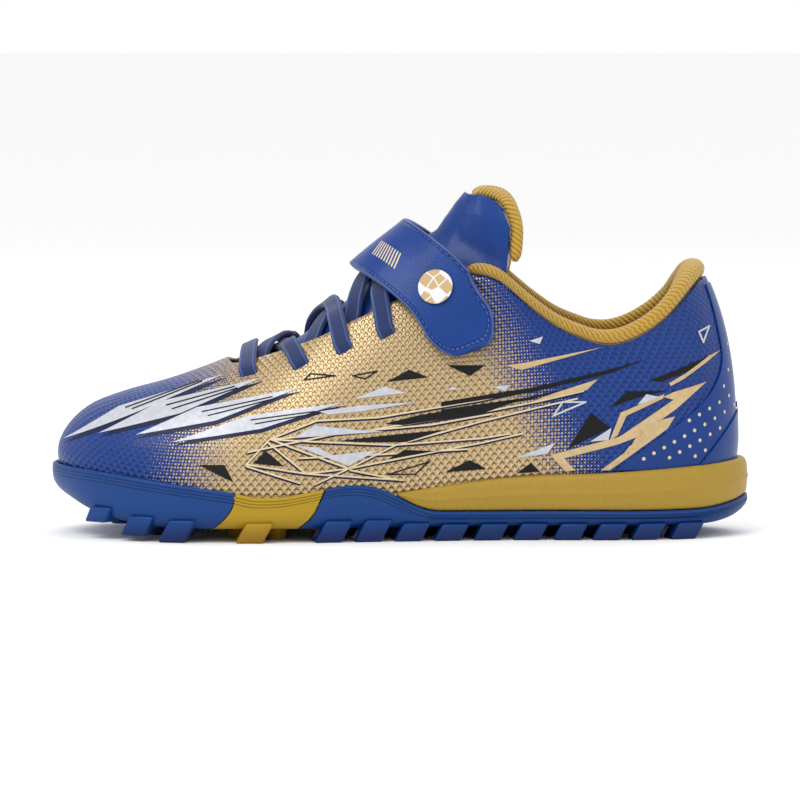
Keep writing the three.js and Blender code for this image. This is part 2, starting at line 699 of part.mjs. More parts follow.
const TONGUE_DEPTH = UPPER + LACE.thick + 2 * LACE_LIFT + 2 * GAP;
const TONGUE_FRONT = -61;
const TONGUE_BACK = 33.5;
const TONGUE_WING = 13;           // the tongue reaches this far under the throat edge
const tongueTopZ = heightCurve([[16, 128], [20, 119], [22.5, 112.6], [27, 112.4], [31, 111],
  [34, 107.5], [36.5, 101], [39, 90]]);
const tongueLowZ = (x) => Math.min(throatEdge(x) - TONGUE_WING, 76 * kz);
const tongueRidge = (t) => above(-1, t, 1, -TONGUE_DEPTH);
const TONGUE_HINGE = tongueRidge(stationAt(4.5 * kx));
const TONGUE_CUT = new THREE.Vector2(0.91 * kx, -0.41 * kz);    // back and down from the hinge

const tongueCrest = opensAt(tongueTopZ, -TONGUE_DEPTH, 4, 22);
const tongueTop = topEdge(tongueTopZ, -TONGUE_DEPTH, tongueCrest);
const tongueEnd = stationAt(TONGUE_BACK * kx);
const tongueStations = [
  ...ribsBetween(stationAt(TONGUE_FRONT * kx), tongueCrest).slice(0, -1),
  ...steps(6, tongueCrest, tongueEnd),
];

function tongueLayer(depth, thickness) {
  return toSolid(layer({
    stations: tongueStations,
    low: (side, t) => Math.min(ribReaches(side, t, tongueLowZ, -TONGUE_DEPTH), 0.93),
    high: tongueTop, outer: -TONGUE_DEPTH - depth, inner: -TONGUE_DEPTH - depth - thickness, rows: 4,
  }));
}

// The half of the tongue's space ahead of the hinge cut (-1) or behind and above it (1).
function tongueSide(sign) {
  const { x, z } = TONGUE_HINGE;
  const normal = new THREE.Vector2(-TONGUE_CUT.y, TONGUE_CUT.x).multiplyScalar(sign);
  const far = 2 * HEIGHT;
  const at = (run, rise) => [
    x + TONGUE_CUT.x * run + normal.x * rise, z + TONGUE_CUT.y * run + normal.y * rise,
  ];
  return prism([at(-far, HINGE_GAP / 2), at(far, HINGE_GAP / 2), at(far, far), at(-far, far)]);
}

const tonguePart = (depth, thickness, sign) =>
  fromSolid(tongueLayer(depth, thickness).intersect(tongueSide(sign)));

// The corded edge of the tongue top, from one wing over the crest to the other.
function tongueBinding() {
  const middleDepth = -TONGUE_DEPTH - (TONGUE_FACE + TONGUE_FOAM + TONGUE_LINING + 2 * GAP) / 2;
  const clearOfHinge = ([side, t, q]) => {
    const p = above(side, t, q, middleDepth);
    const height = (p.z - TONGUE_HINGE.z) * TONGUE_CUT.x - (p.x - TONGUE_HINGE.x) * TONGUE_CUT.y;
    return height > HINGE_GAP;
  };
  const wing = (side) => [
    ...steps(10, 0.3, tongueTop(side, tongueEnd)).map((q) => [side, tongueEnd, q]),
    ...steps(6, tongueEnd, tongueCrest).slice(1).map((t) => [side, t, tongueTop(side, t)]),
  ].filter(clearOfHinge);
  const edge = [...wing(-1), ...wing(1).reverse().slice(1)];
  const points = edge.map(([side, t, q]) => above(side, t, q, middleDepth));
  const around = (i) => points[Math.min(points.length - 1, i + 1)].clone()
    .sub(points[Math.max(0, i - 1)]).normalize();
  return sweep(edge.map(([side, t, q], i) => {
    const { out } = skinFrame(side, t, q);
    const away = around(i).cross(out).normalize();
    const face = around(i).cross(away).normalize();
    const centre = points[i].clone().addScaledVector(away, TONGUE_BINDING + SEAT);
    return ellipse(centre, away, TONGUE_BINDING, face, TONGUE_BINDING, 8);
  }));
}

// ---------------------------------------------------------------- lace

// Depth of a crossing lace over the tongue, from the side where it lies on top (0) to the side
// where it goes under the leather (1); edge is where the throat edge comes on that run.
function crossingDepth(edge, high) {
  const mid = high ? -UPPER / 2 : -TONGUE_DEPTH + LACE_LIFT + 0.1 + LACE.thick / 2;
  return curve([[0, LACE_TOP], [edge + 0.04, LACE_TOP], [edge + 0.16, mid + 0.15], [0.5, mid],
    [1 - edge - 0.1, high ? mid - 0.2 : mid], [1 - edge, LACE_UNDER - 0.1], [1, LACE_UNDER]]);
}

function elasticLace() {
  const path = [];
  const put = (point, across) => {
    const previous = path.at(-1);
    const flipped = previous && across.dot(previous[1]) < 0;
    path.push([point, flipped ? across.clone().negate() : across.clone()]);
  };
  const turn = (side, [t, q], down) => {
    const { along, out, inboard } = slotFrame(side, [t, q]);
    const centre = above(side, t, q, (LACE_TOP + LACE_UNDER) / 2);
    const angles = steps(4, down ? 90 : -90, down ? -90 : 90);
    angles.forEach((degrees) => {
      const a = THREE.MathUtils.degToRad(degrees);
      put(centre.clone().addScaledVector(out, HAIRPIN * Math.sin(a))
        .addScaledVector(inboard, -HAIRPIN * Math.cos(a)), along);
    });
  };
  // A run between two slots: from is on top when it comes out, to goes under, or the reverse.
  const run = (from, to, fromTop, high, bar = false) => {
    const [[side, t0, q0], [, t1, q1]] = [from, to];
    const edge = (ribReaches(side, t0, throatEdge) - q0) / (2 - q0 - q1) + 0.02;
    const depth = bar ? () => [LACE_TOP] : crossingDepth(edge, high);
    steps(10, 0.05, 0.95).forEach((f) => {
      const t = t0 + (t1 - t0) * f;
      const q = q0 + (2 - q0 - q1) * f;
      const [s, r] = q <= 1 ? [side, q] : [-side, 2 - q];
      const lift = depth(fromTop ? f : 1 - f)[0];
      const ahead = q + 0.01 <= 1 ? [side, q + 0.01] : [-side, 2 - q - 0.01];
      const step = skin(ahead[0], t + 0.01 * (t1 - t0) / (2 - q0 - q1), ahead[1]).sub(skin(s, t, r));
      put(above(s, t, r, lift), skinFrame(s, t, r).out.cross(step).normalize());
    });
  };
  const slot = (side, i) => [side, ...EYELETS[i]];
  const last = EYELETS.length - 1;
  const tail = (side, forward) => {
    const [t, q] = EYELETS[last];
    const ends = steps(2, 0.06, 0.02).map((dq) => [above(side, t, q + dq, LACE_UNDER),
      skinFrame(side, t, q).along]);
    (forward ? ends : ends.reverse()).forEach(([p, across]) => put(p, across));
  };
  // Up the shoe the lace comes to each slot from above; down the shoe it comes from below.
  tail(-1, true);
  turn(-1, EYELETS[last], false);
  for (let i = last; i > 0; i -= 1) {
    const side = (last - i) % 2 ? 1 : -1;
    run(slot(side, i), slot(-side, i - 1), true, false);
    turn(-side, EYELETS[i - 1], false);
  }
  const bar = (last % 2) ? 1 : -1;
  run(slot(bar, 0), slot(-bar, 0), true, false, true);
  turn(-bar, EYELETS[0], true);
  for (let i = 0; i < last; i += 1) {
    const side = i % 2 ? bar : -bar;
    run(slot(side, i), slot(-side, i + 1), false, true);
    turn(-side, EYELETS[i + 1], true);
  }
  tail(last % 2 ? bar : -bar, false);
  return sweep(path.map(([centre, across], i) => {
    const next = path[Math.min(path.length - 1, i + 1)][0];
    const tangent = next.clone().sub(path[Math.max(0, i - 1)][0]).normalize();
    const face = new THREE.Vector3().crossVectors(tangent, across).normalize();
    const wide = new THREE.Vector3().crossVectors(face, tangent).normalize();
    const [w, h] = [LACE.width / 2, LACE.thick / 2];
    return [[-w, -h], [w, -h], [w, h], [-w, h]].map(([a, b]) =>
      centre.clone().addScaledVector(wide, a).addScaledVector(face, b));
  }));
}

// ---------------------------------------------------------------- strap

// The strap's middle line over the last, from the medial anchor (0) over the ridge to the tip (1).
const STRAP_RIDGE = -4.9;
const STRAP_TIP = onSkin(-1, 23.5 * kx, 61.4 * kz);
const strapRidgeT = (() => {
  let [low, high] = [stationAt(-30 * kx), stationAt(20 * kx)];
  for (let i = 0; i < 40; i += 1) {
    const middle = (low + high) / 2;
    if (skin(-1, middle, 1).x < STRAP_RIDGE * kx) low = middle;
    else high = middle;
  }
  return low;
})();
const strapLine = curve([[0, STRAP_TIP[0], 2 - STRAP_TIP[1]], [0.5, strapRidgeT, 1],
  [1, STRAP_TIP[0], STRAP_TIP[1]]]);
const STRAP_LENGTH = (() => {
  const points = steps(40).map((f) => skin(-1, ...strapLine(f)));
  return points.slice(1).reduce((sum, p, i) => sum + p.distanceTo(points[i]), 0);
})();
const HINGES = { flap: 0.2, tip: 0.71 };
const PATCH_SPAN = { from: 0.79, to: 0.965 };
const tipLift = SEAT + PATCH.loop + PATCH.hook + 2 * GAP;
const overLace = LACE_LIFT + LACE.thick + GAP;
const strapLift = curve([[0, SEAT], [0.1, SEAT], [0.27, overLace], [0.5, overLace], [0.7, overLace],
  [0.78, tipLift], [1, tipLift]]);

// A plate along the strap's line between two shares of it, with a rounded end if asked.
function strapPlate({ from, to, width, low, high, rows = 8, columns = 6, round = 0 }) {
  const radius = round / STRAP_LENGTH;
  const grid = (lift) => steps(rows, from, to).map((f) => {
    const [t, q] = strapLine(f);
    const centre = skin(-1, t, q);
    const tangent = skin(-1, ...strapLine(f + 0.004)).sub(skin(-1, ...strapLine(f - 0.004)));
    const out = skinFrame(-1, t, q).out;
    if (q > 1) out.copy(skinFrame(1, t, 2 - q).out);
    const across = tangent.normalize().cross(out).normalize();
    const into = radius ? clamp((f - (to - radius)) / radius, 0, 0.93) : 0;
    const half = width / 2 * Math.sqrt(1 - into * into);
    return steps(columns, -half, half).map((w) => {
      const [tt, qq] = nearestOnSkin(centre.clone().addScaledVector(across, w), t, q);
      const [side, r] = qq <= 1 ? [-1, qq] : [1, 2 - qq];
      return above(side, tt, r, lift(f));
    });
  });
  return plate(grid(high), grid(low));
}

const strapPiece = (from, to, extra = {}) => strapPlate({
  from, to, width: STRAP.width, low: (f) => strapLift(f)[0],
  high: (f) => strapLift(f)[0] + STRAP.thick, ...extra,
});
const patchPiece = (low, thick) => strapPlate({
  from: PATCH_SPAN.from, to: PATCH_SPAN.to, width: PATCH.width, low: () => low, high: () => low + thick,
});

const leafGap = HINGE_GAP / STRAP_LENGTH / 2;
const strapAnchor = () => strapPiece(0, HINGES.flap - leafGap, { rows: 5 });
const strapFlap = () => strapPiece(HINGES.flap + leafGap, HINGES.tip - leafGap, { rows: 12 });
const strapTip = () => strapPiece(HINGES.tip + leafGap, 1, { rows: 9, round: 8 });
const hookPatch = () => patchPiece(SEAT + PATCH.loop + GAP, PATCH.hook);
const loopPatch = () => patchPiece(SEAT, PATCH.loop);

// A round badge on the strap tip.
const BADGE = { radius: 5.8, thick: 0.7, at: 0.845 };
function badge() {
  const [t, q] = strapLine(BADGE.at);
  const { along, out } = skinFrame(-1, t, q);
  const lift = tipLift + STRAP.thick + 2 * GAP + BADGE.thick / 2;
  const disc = new THREE.CylinderGeometry(BADGE.radius, BADGE.radius, BADGE.thick, 20);
  const aside = new THREE.Vector3().crossVectors(along, out);
  const place = new THREE.Matrix4().makeBasis(along, out, aside).setPosition(above(-1, t, q, lift));
  return bare(disc).applyMatrix4(place);
}

// ---------------------------------------------------------------- the shoe

const shoe = new THREE.Group();
function add(name, geometry, color, roughness, metalness = 0) {
  const mesh = new THREE.Mesh(geometry, new THREE.MeshStandardMaterial({ color, roughness, metalness }));
  mesh.name = name;
  shoe.add(mesh);
}

const BLUE = 0x1d3f87;
const OUTSOLE_BLUE = 0x23468c;
const GOLD = 0xb0912a;
const TEXTILE_GOLD = 0xc8a032;
const CHAMPAGNE = 0xd7be8c;
const DARK = 0x232326;
const WHITE = 0xebebf0;

const sole = outsoleSections();
add('outsole_toe', fromSolid(sole.toe), OUTSOLE_BLUE, 0.5);
add('outsole_band', fromSolid(sole.band), GOLD, 0.5);
add('outsole_rear', fromSolid(sole.rear), OUTSOLE_BLUE, 0.5);
add('midsole', fromSolid(midsoleBlank(0).subtract(footSpace())), GOLD, 0.6);
add('strobel_board', insole(featherZ, () => BOARD), WHITE, 0.9);
add('sock_liner', insole((x) => featherZ(x) + BOARD + GAP, (x) => SOCK_LINER + 2 * smooth(x / kx, 0, 60)),
  TEXTILE_GOLD, 0.95);
add('upper', upper(), CHAMPAGNE, 0.45);
add('toe_puff', toePuff(), DARK, 0.8);
add('heel_counter', heelCounter(), DARK, 0.8);
add('inner_lining', innerLining(), TEXTILE_GOLD, 0.95);
add('heel_overlay', heelPatch(OVERLAY_FRONT, 26.6 * kz, 83 * kz, SEAT), BLUE, 0.35);
add('heel_cap', heelPatch(CAP_FRONT, 26.6 * kz, 43.5 * kz, SEAT + OVERLAY + GAP), BLUE, 0.35);
add('collar_foam', collarLayer(PAD_LOW * kz, UPPER + GAP, COLLAR_FOAM), WHITE, 1);
add('collar_lining', collarLayer((PAD_LOW - 3) * kz, COLLAR_LINING_OUT, LINING), TEXTILE_GOLD, 0.95);
add('collar_roll', collarRoll(), TEXTILE_GOLD, 0.95);
[['tongue', -1], ['tongue_top', 1]].forEach(([name, sign]) => {
  const layers = [['face', TONGUE_FACE, BLUE], ['foam', TONGUE_FOAM, WHITE],
    ['lining', TONGUE_LINING, TEXTILE_GOLD]];
  let depth = 0;
  layers.forEach(([layerName, thickness, color]) => {
    add(`${name}_${layerName}`, tonguePart(depth, thickness, sign), color, 0.6);
    depth += thickness + GAP;
  });
});
add('tongue_binding', tongueBinding(), TEXTILE_GOLD, 0.95);
add('elastic_lace', elasticLace(), BLUE, 0.9);
add('strap_anchor', strapAnchor(), BLUE, 0.4);
add('strap_flap', strapFlap(), BLUE, 0.4);
add('strap_tip', strapTip(), BLUE, 0.4);
add('hook_patch', hookPatch(), DARK, 1);
add('loop_patch', loopPatch(), DARK, 1);
add('strap_badge', badge(), WHITE, 0.4);

export default shoe;
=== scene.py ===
# %% [markdown]
# # A child's turf soccer shoe
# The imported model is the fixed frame: every piece below is made in its space, in metres, with
# +X from toe to heel, -Y to the outer side of this left shoe and +Z up. Sizes are written in
# millimetres, as a shoemaker does, and MM turns them into metres.

# %% Load the frame
import math

import bmesh
import bpy
from mathutils import Matrix, Vector
from mathutils.bvhtree import BVHTree


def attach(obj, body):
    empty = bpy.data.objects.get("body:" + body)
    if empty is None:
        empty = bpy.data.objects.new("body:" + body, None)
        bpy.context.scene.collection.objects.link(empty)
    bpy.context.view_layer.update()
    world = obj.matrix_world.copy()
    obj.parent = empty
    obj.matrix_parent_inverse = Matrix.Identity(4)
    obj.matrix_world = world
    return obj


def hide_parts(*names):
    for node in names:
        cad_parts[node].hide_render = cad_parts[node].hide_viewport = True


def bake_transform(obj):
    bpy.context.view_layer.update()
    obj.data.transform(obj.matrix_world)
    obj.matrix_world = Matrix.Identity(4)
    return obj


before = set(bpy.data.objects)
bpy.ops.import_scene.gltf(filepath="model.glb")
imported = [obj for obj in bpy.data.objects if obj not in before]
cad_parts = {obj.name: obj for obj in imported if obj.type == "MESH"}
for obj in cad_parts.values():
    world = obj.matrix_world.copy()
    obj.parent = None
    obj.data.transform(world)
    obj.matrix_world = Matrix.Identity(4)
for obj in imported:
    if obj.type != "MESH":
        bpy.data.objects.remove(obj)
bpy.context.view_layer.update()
MM = 0.001
LENGTH = 232.0

# %% [markdown]
# ## Camera, light and floor
# A shoe is shown from its side with a long lens, so that the toe and the heel keep their true
# sizes. Large soft lamps give broad highlights on the leather, and a pale floor takes a soft
# contact shadow.

# %% Camera, light and floor
VIEW_HEIGHT = 45.5 * MM
CAMERA_DISTANCE = 2.2
CAMERA_RISE = math.radians(4.5)
VIEW_WIDTH = 264 * MM


def add_camera():
    data = bpy.data.cameras.new("camera")
    data.sensor_width = 36
    data.lens = data.sensor_width * CAMERA_DISTANCE / VIEW_WIDTH
    camera = bpy.data.objects.new("camera", data)
    bpy.context.scene.collection.objects.link(camera)
    back = Vector((0, -math.cos(CAMERA_RISE), math.sin(CAMERA_RISE)))
    camera.location = Vector((0, -0.02, VIEW_HEIGHT)) + back * CAMERA_DISTANCE
    camera.rotation_euler = back.to_track_quat("Z", "Y").to_euler()
    bpy.context.scene.camera = camera


def add_lamp(name, place, size, power):
    data = bpy.data.lights.new(name, "AREA")
    data.shape = "RECTANGLE"
    data.size, data.size_y = size
    data.energy = power
    lamp = bpy.data.objects.new(name, data)
    lamp.location = place
    lamp.rotation_euler = (Vector(place) - Vector((0, 0, 0.04))).to_track_quat("Z", "Y").to_euler()
    bpy.context.scene.collection.objects.link(lamp)


def add_floor():
    bm = bmesh.new()
    bmesh.ops.create_grid(bm, x_segments=1, y_segments=1, size=6)
    mesh = bpy.data.meshes.new("floor")
    bm.to_mesh(mesh)
    floor = bpy.data.objects.new("floor", mesh)
    bpy.context.scene.collection.objects.link(floor)
    material = bpy.data.materials.new("floor_paper")
    material.use_nodes = True
    shader = material.node_tree.nodes["Principled BSDF"]
    shader.inputs["Base Color"].default_value = (0.94, 0.94, 0.94, 1)
    shader.inputs["Roughness"].default_value = 0.9
    mesh.materials.append(material)


add_camera()
add_lamp("key", (-0.45, -0.6, 1.0), (0.9, 0.5), 6)
add_lamp("fill", (0.9, -0.9, 0.45), (0.8, 0.8), 0.6)
add_lamp("rim", (0.25, 0.8, 0.9), (1.2, 0.4), 4)
add_floor()
bpy.context.scene.view_settings.view_transform = "Standard"
world = bpy.data.worlds.new("studio")
bpy.context.scene.world = world
world.use_nodes = True
world.node_tree.nodes["Background"].inputs["Color"].default_value = (1, 1, 1, 1)
world.node_tree.nodes["Background"].inputs["Strength"].default_value = 1.0

# %% [markdown]
# ## The last
# A shoe is built round a last, a solid foot form. The frame's layers all follow one last, so the
# same ribs are written here again: smooth curves through a few rows, and a rib profile between
# the feather edge and the ridge. Everything soft is then laid on that form, which is how the
# real upper gets its shape.

# %% Curves and tables of the last


def clamp(value, low, high):
    return min(high, max(low, value))


def smooth(value, start, end):
    s = clamp((value - start) / (end - start), 0, 1)
    return s * s * (3 - 2 * s)


def curve(rows):
    """A smooth curve through rows of (key, value, ...), which gives the values at a key."""
    last = len(rows) - 1
    slopes = []
    for i in range(len(rows)):
        before, after = rows[max(0, i - 1)], rows[min(last, i + 1)]
        slopes.append([(b - a) / (after[0] - before[0]) for a, b in zip(before, after)])

    def at(key):
        x = clamp(key, rows[0][0], rows[last][0])
        j = next((i for i in range(1, last) if rows[i][0] >= x), last)
        a, b = rows[j - 1], rows[j]
        d = b[0] - a[0]
        s = (x - a[0]) / d
        s2, s3 = s * s, s * s * s
        w = (2 * s3 - 3 * s2 + 1, (s3 - 2 * s2 + s) * d, 3 * s2 - 2 * s3, (s3 - s2) * d)
        p, r = slopes[j - 1], slopes[j]
        return [w[0] * a[k] + w[1] * p[k] + w[2] * b[k] + w[3] * r[k] for k in range(1, len(a))]
    return at


def height_curve(rows):
    at = curve(rows)
    return lambda x: at(x)[0]


def station(x):
    """0 at the toe tip, 1 at the heel tip, closer together at both tips."""
    return math.acos(clamp(-2 * x / LENGTH, -1, 1)) / math.pi


def by_station(rows):
    return curve([(station(row[0]), *row[1:]) for row in rows])


half_widths = by_station([
    (-116, 0, 0), (-112, 13, 17), (-100, 27, 30.5), (-80, 38, 38.4), (-58, 42, 42.2),
    (-35, 41.4, 37.5), (0, 35.5, 30), (40, 31, 29.5), (75, 31, 30), (100, 24.5, 23.5),
    (112, 13, 13), (116, 0, 0)])
ribs = by_station([
    (-116, -97, 45.4, 0, 2.9, 2.2, 0.33), (-100, -88, 48.3, 0, 2.5, 2.1, 0.3),
    (-80, -74, 52.2, 0, 2.2, 2.0, 0.3), (-60, -57, 58.6, 0, 1.9, 1.9, 0.2),
    (-40, -38, 67.5, 0, 1.55, 1.8, 0.1), (-25, -22, 79.5, 0, 1.5, 1.8, 0),
    (-10, -7, 92, 0, 1.5, 1.8, 0), (4, 8, 104, 0, 1.5, 1.8, 0), (16, 21.5, 118.5, 0, 1.55, 1.8, 0),
    (22, 28, 125, 0, 1.6, 1.8, 0), (28, 34, 129, 7, 1.7, 1.7, 0), (40, 40, 130, 12, 1.9, 1.6, 0),
    (60, 46, 130, 14, 2.2, 1.4, 0), (80, 49, 130, 12, 2.6, 1.3, 0), (100, 51, 130, 7, 2.9, 1.3, 0),
    (116, 52, 130, 0, 3, 1.3, 0)])
side_inset = by_station([(-116, 1.3), (-80, 1.8), (0, 2), (85, 2.4), (116, 4.3)])
stud_z = height_curve([
    (-116, 16), (-112, 13.6), (-103, 8.2), (-94, 4.4), (-84, 1.6), (-74, 0.2), (-68, 0), (-60, 0),
    (90, 0), (98, 0), (104, 0.7), (110, 3.2), (116, 7)])
web_z = height_curve([
    (-116, 15.2), (-112, 13.8), (-103, 9.6), (-94, 7), (-84, 5.2), (-74, 4.6), (-68, 4.5),
    (-60, 4.5), (90, 4.5), (98, 4.5), (104, 4.9), (110, 6.2), (116, 8.6)])
outsole_top = height_curve([
    (-116, 23.6), (-99, 22.4), (-86, 20.8), (-69, 18.6), (-54, 16.5), (-48, 15.2), (-39, 15.2),
    (-31, 16.4), (-24.6, 17.6), (-19, 18.6), (-14, 18.8), (-9, 18.2), (-4.5, 16.6), (-0.5, 14.8),
    (4, 12.3), (9, 10.4), (14, 9.8), (60, 9.7), (98, 9.8), (109, 11.2), (116, 13.4)])
midsole_top = height_curve([
    (-12, 13), (-4, 15), (0, 16), (16, 18.4), (33, 20.4), (50, 21.5), (65, 22), (82, 23), (97, 24),
    (116, 25.4)])
throat_edge = height_curve([
    (-60, 64), (-57, 58.2), (-54.5, 57.2), (-45.5, 59.5), (-34, 63.4), (-28, 65.6), (-18, 70.4),
    (0, 79), (12, 84.4), (22, 86.6), (28, 86.4), (33, 84.4), (39.8, 78.9), (44.8, 74.8),
    (52.3, 69.6), (60, 66.2), (65, 64.6), (71, 64.4), (77.6, 66.3), (85, 70.4), (90.3, 74.8),
    (95.3, 80.2), (100.4, 84.8), (108, 86)])
WEB, MIDSOLE_FLOOR = 3, 2.4
GAP = 0.3      # between two pieces that touch
SEAT = 0.6     # between the upper and what is sewn or pressed on it
STIFFENER_THICK = LINING_THICK = LOOP_THICK = HOOK_THICK = 0.8
TUCK, TUCK_HEIGHT = 2, 14
UPPER, LACE_THICK, LACE_LIFT = 1.4, 1.6, 0.45


def feather_z(x):
    return web_z(x) + WEB + MIDSOLE_FLOOR + 3 * GAP + 6.7 * smooth(x, -40, 70)


# %% Points of the last


def outline(side, t, inset):
    """A point of the sole's outline, set in along its own normal."""
    step = 1e-4

    def at(u):
        v = -u if u < 0 else 2 - u if u > 1 else u
        here = side if v == u else -side
        return -0.5 * LENGTH * math.cos(math.pi * v), here * half_widths(v)[0 if here < 0 else 1]
    p, a, b = at(t), at(t - step), at(t + step)
    dx, dy = b[0] - a[0], b[1] - a[1]
    scale = side * inset / math.hypot(dx, dy)
    return p[0] + dy * scale, p[1] - dx * scale


def rib_profile(side, t):
    """The rib at a station as a function of q, 0 at the feather edge and 1 on the ridge."""
    top_x, top_z, top_w, fullness, roundness, lean = ribs(t)
    inset = side_inset(t)[0]
    foot = feather_z(outline(side, t, inset + TUCK)[0])
    low, high = outline(side, t, inset), outline(side, t, inset + TUCK)
    top_y = side * max(0, top_w)

    def at(q):
        angle = clamp(q, 0, 1) * math.pi / 2
        up = math.sin(angle) ** (2 / fullness)
        over = 1 - max(0, math.cos(angle)) ** (2 / roundness)
        rise = (top_z - foot) * up
        tuck = (1 - clamp(rise / TUCK_HEIGHT, 0, 1)) ** 2
        x = low[0] + (high[0] - low[0]) * tuck
        y = low[1] + (high[1] - low[1]) * tuck
        x, y = x + (top_x - x) * over, y + (top_y - y) * over
        return Vector((x, y, foot + rise + lean * (x - top_x) * up))
    return at


def skin(side, t, q):
    """The outside of the upper. Past a tip, t carries on round the other side, and so does q."""
    if t < 0:
        return skin(-side, -t, q)
    if t > 1:
        return skin(-side, 2 - t, q)
    if q > 1:
        return skin(-side, t, 2 - q)
    return rib_profile(side, t)(q)


def skin_out(side, t, q):
    """The outward normal of the skin."""
    step = 2e-3
    along = skin(side, t + step, q) - skin(side, t - step, q)
    upward = skin(side, t, q + step) - skin(side, t, max(q - step, 1e-4))
    out = along.cross(upward) * -side
    if t <= 0 or t >= 1 or abs(q - 1) < 1e-9:
        out.y = 0
    return out.normalized()


def on_own_side(side, t, q):
    """The same point with q at most 1: past the ridge it belongs to the other side."""
    return (side, t, q) if q <= 1 else (-side, t, 2 - q)


def above(side, t, q, lift):
    """A point at a height over the skin, in millimetres."""
    place = on_own_side(side, t, q)
    return skin(*place) + skin_out(*place) * lift


def rib_reaches(side, t, height, lift=0):
    """Where rib t, walking up it, passes a height given over x; 1 where it never does."""
    profile = rib_profile(side, t)

    def below(q):
        p = above(side, t, q, lift) if lift else profile(q)
        return p.z < height(p.x)
    if below(0.9999):
        return 1
    low, high = 0, 1
    for _ in range(18):
        middle = (low + high) / 2
        low, high = (middle, high) if below(middle) else (low, middle)
    return low


def opens_at(height, lift, from_x, to_x):
    """The station from which the ridge stands above a height given over x."""
    low, high = station(from_x), station(to_x)
    for _ in range(24):
        middle = (low + high) / 2
        if rib_reaches(-1, middle, height, lift) >= 1:
            low = middle
        else:
            high = middle
    return low


def steps(count, start=0.0, end=1.0):
    return [start + (end - start) * i / count for i in range(count + 1)]


THROAT_OPENS = opens_at(throat_edge, 0, -80, -40)
print("throat opens at station", round(THROAT_OPENS, 4))

# %% [markdown]
# ## Making pieces
# Most pieces of a shoe are sheets that follow the last. Each is a grid whose corners are moved
# onto the last, with a UV map in millimetres of real material, then thickened inwards. Grids of
# both sides are merged along the ridge and the tips, so a piece is one sheet as it is when cut.

# %% Mesh helpers


def mesh_object(name, bm, smooth_faces=True):
    """A finished object in metres from a mesh in millimetres."""
    bmesh.ops.scale(bm, vec=(MM, MM, MM), verts=bm.verts)
    mesh = bpy.data.meshes.new(name)
    bm.to_mesh(mesh)
    bm.free()
    mesh.polygons.foreach_set("use_smooth", [smooth_faces] * len(mesh.polygons))
    piece = bpy.data.objects.new(name, mesh)
    bpy.context.scene.collection.objects.link(piece)
    return piece


def add_grid(bm, columns, rows, place, flip=False, uv=None):
    """A grid of corners, each moved to place(i, j); uv gives a corner's place on the material."""
    made = bmesh.ops.create_grid(bm, x_segments=columns, y_segments=rows, size=0.5)
    where = {}
    for v in made["verts"]:
        i, j = round((v.co.x + 0.5) * columns), round((v.co.y + 0.5) * rows)
        where[v] = (i, j)
        v.co = place(i, j)
    faces = list({f for v in made["verts"] for f in v.link_faces})
    if uv:
        layer = bm.loops.layers.uv.get("UVMap") or bm.loops.layers.uv.new("UVMap")
        for f in faces:
            for loop in f.loops:
                loop[layer].uv = uv(*where[loop.vert])
    if flip:
        bmesh.ops.reverse_faces(bm, faces=faces)
    return faces


def lift_along_normals(bm, lift):
    bm.normal_update()
    moves = [v.normal * lift for v in bm.verts]
    for v, move in zip(bm.verts, moves):
        v.co += move


def running_lengths(points):
    total, lengths = 0.0, [0.0]
    for a, b in zip(points, points[1:]):
        total += (b - a).length
        lengths.append(total)
    return lengths


def last_sheet(stations, low, high, rows, lift=0.0):
    """A sheet on the last over some ribs, from low to high up each rib. Its UV map holds the
    distance from the waist along the shoe and the distance up the rib."""
    bm = bmesh.new()
    for side in (-1, 1):
        columns = []
        for t in stations:
            profile = rib_profile(side, t)
            from_q, to_q = low(side, t), high(side, t)
            columns.append([profile(from_q + (to_q - from_q) * j / rows) for j in range(rows + 1)])
        waist = min(range(len(stations)), key=lambda i: abs(stations[i] - 0.5))
        along = [running_lengths([c[j] for c in columns]) for j in range(rows + 1)]
        upward = [running_lengths(c) for c in columns]
        add_grid(
            bm, len(stations) - 1, rows, lambda i, j: columns[i][j], flip=side > 0,
            uv=lambda i, j: (along[j][i] - along[j][waist], upward[i][j]))
    bmesh.ops.remove_doubles(bm, verts=bm.verts, dist=1e-3)
    if lift:
        lift_along_normals(bm, lift)
    return bm


def thicken(piece, thickness):
    """Gives a sheet its thickness inwards, from the side that it faces."""
    made = piece.modifiers.new("thickness", "SOLIDIFY")
    made.thickness = thickness * MM
    made.offset = -1
    made.use_quality_normals = True
    return made


def soften(piece, width, segments=2):
    """Rounds the sharp edges of a piece by a width in millimetres."""
    made = piece.modifiers.new("softened_edges", "BEVEL")
    made.width = width * MM
    made.segments = segments
    made.limit_method = "ANGLE"
    made.angle_limit = math.radians(40)
    made.harden_normals = True
    return made


def finish_piece(piece, material, slot_name, body="root", replaced=()):
    """Gives a piece its one material, its body and the model's nodes it stands for; slot_name is not
    used.
    """
    piece.data.materials.clear()
    piece.data.materials.append(material)
    if body:
        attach(piece, body)
    if replaced:
        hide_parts(*replaced)
    return piece


# %% [markdown]
# ## Materials
# The upper is a coated synthetic with a moulded field of small dimples; two colours meet in a
# screen of fine dots, as a printed halftone does. The rope at the collar and the lining are a
# gold knit. Sole parts are matt rubber. Every pattern is computed from the piece's own UV map or
# from the object's own space.

# %% Material helpers


def put(tree, kind, *values, **settings):
    """A shader node; each value sets an input in order, or links to it if it is a socket."""
    made = tree.nodes.new("ShaderNode" + kind)
    for key, value in settings.items():
        setattr(made, key, value)
    for i, value in enumerate(values):
        if isinstance(value, bpy.types.NodeSocket):
            tree.links.new(value, made.inputs[i])
        elif value is not None:
            made.inputs[i].default_value = value
    return made


def sums(tree, operation, *values):
    return put(tree, "Math", *values, operation=operation).outputs[0]


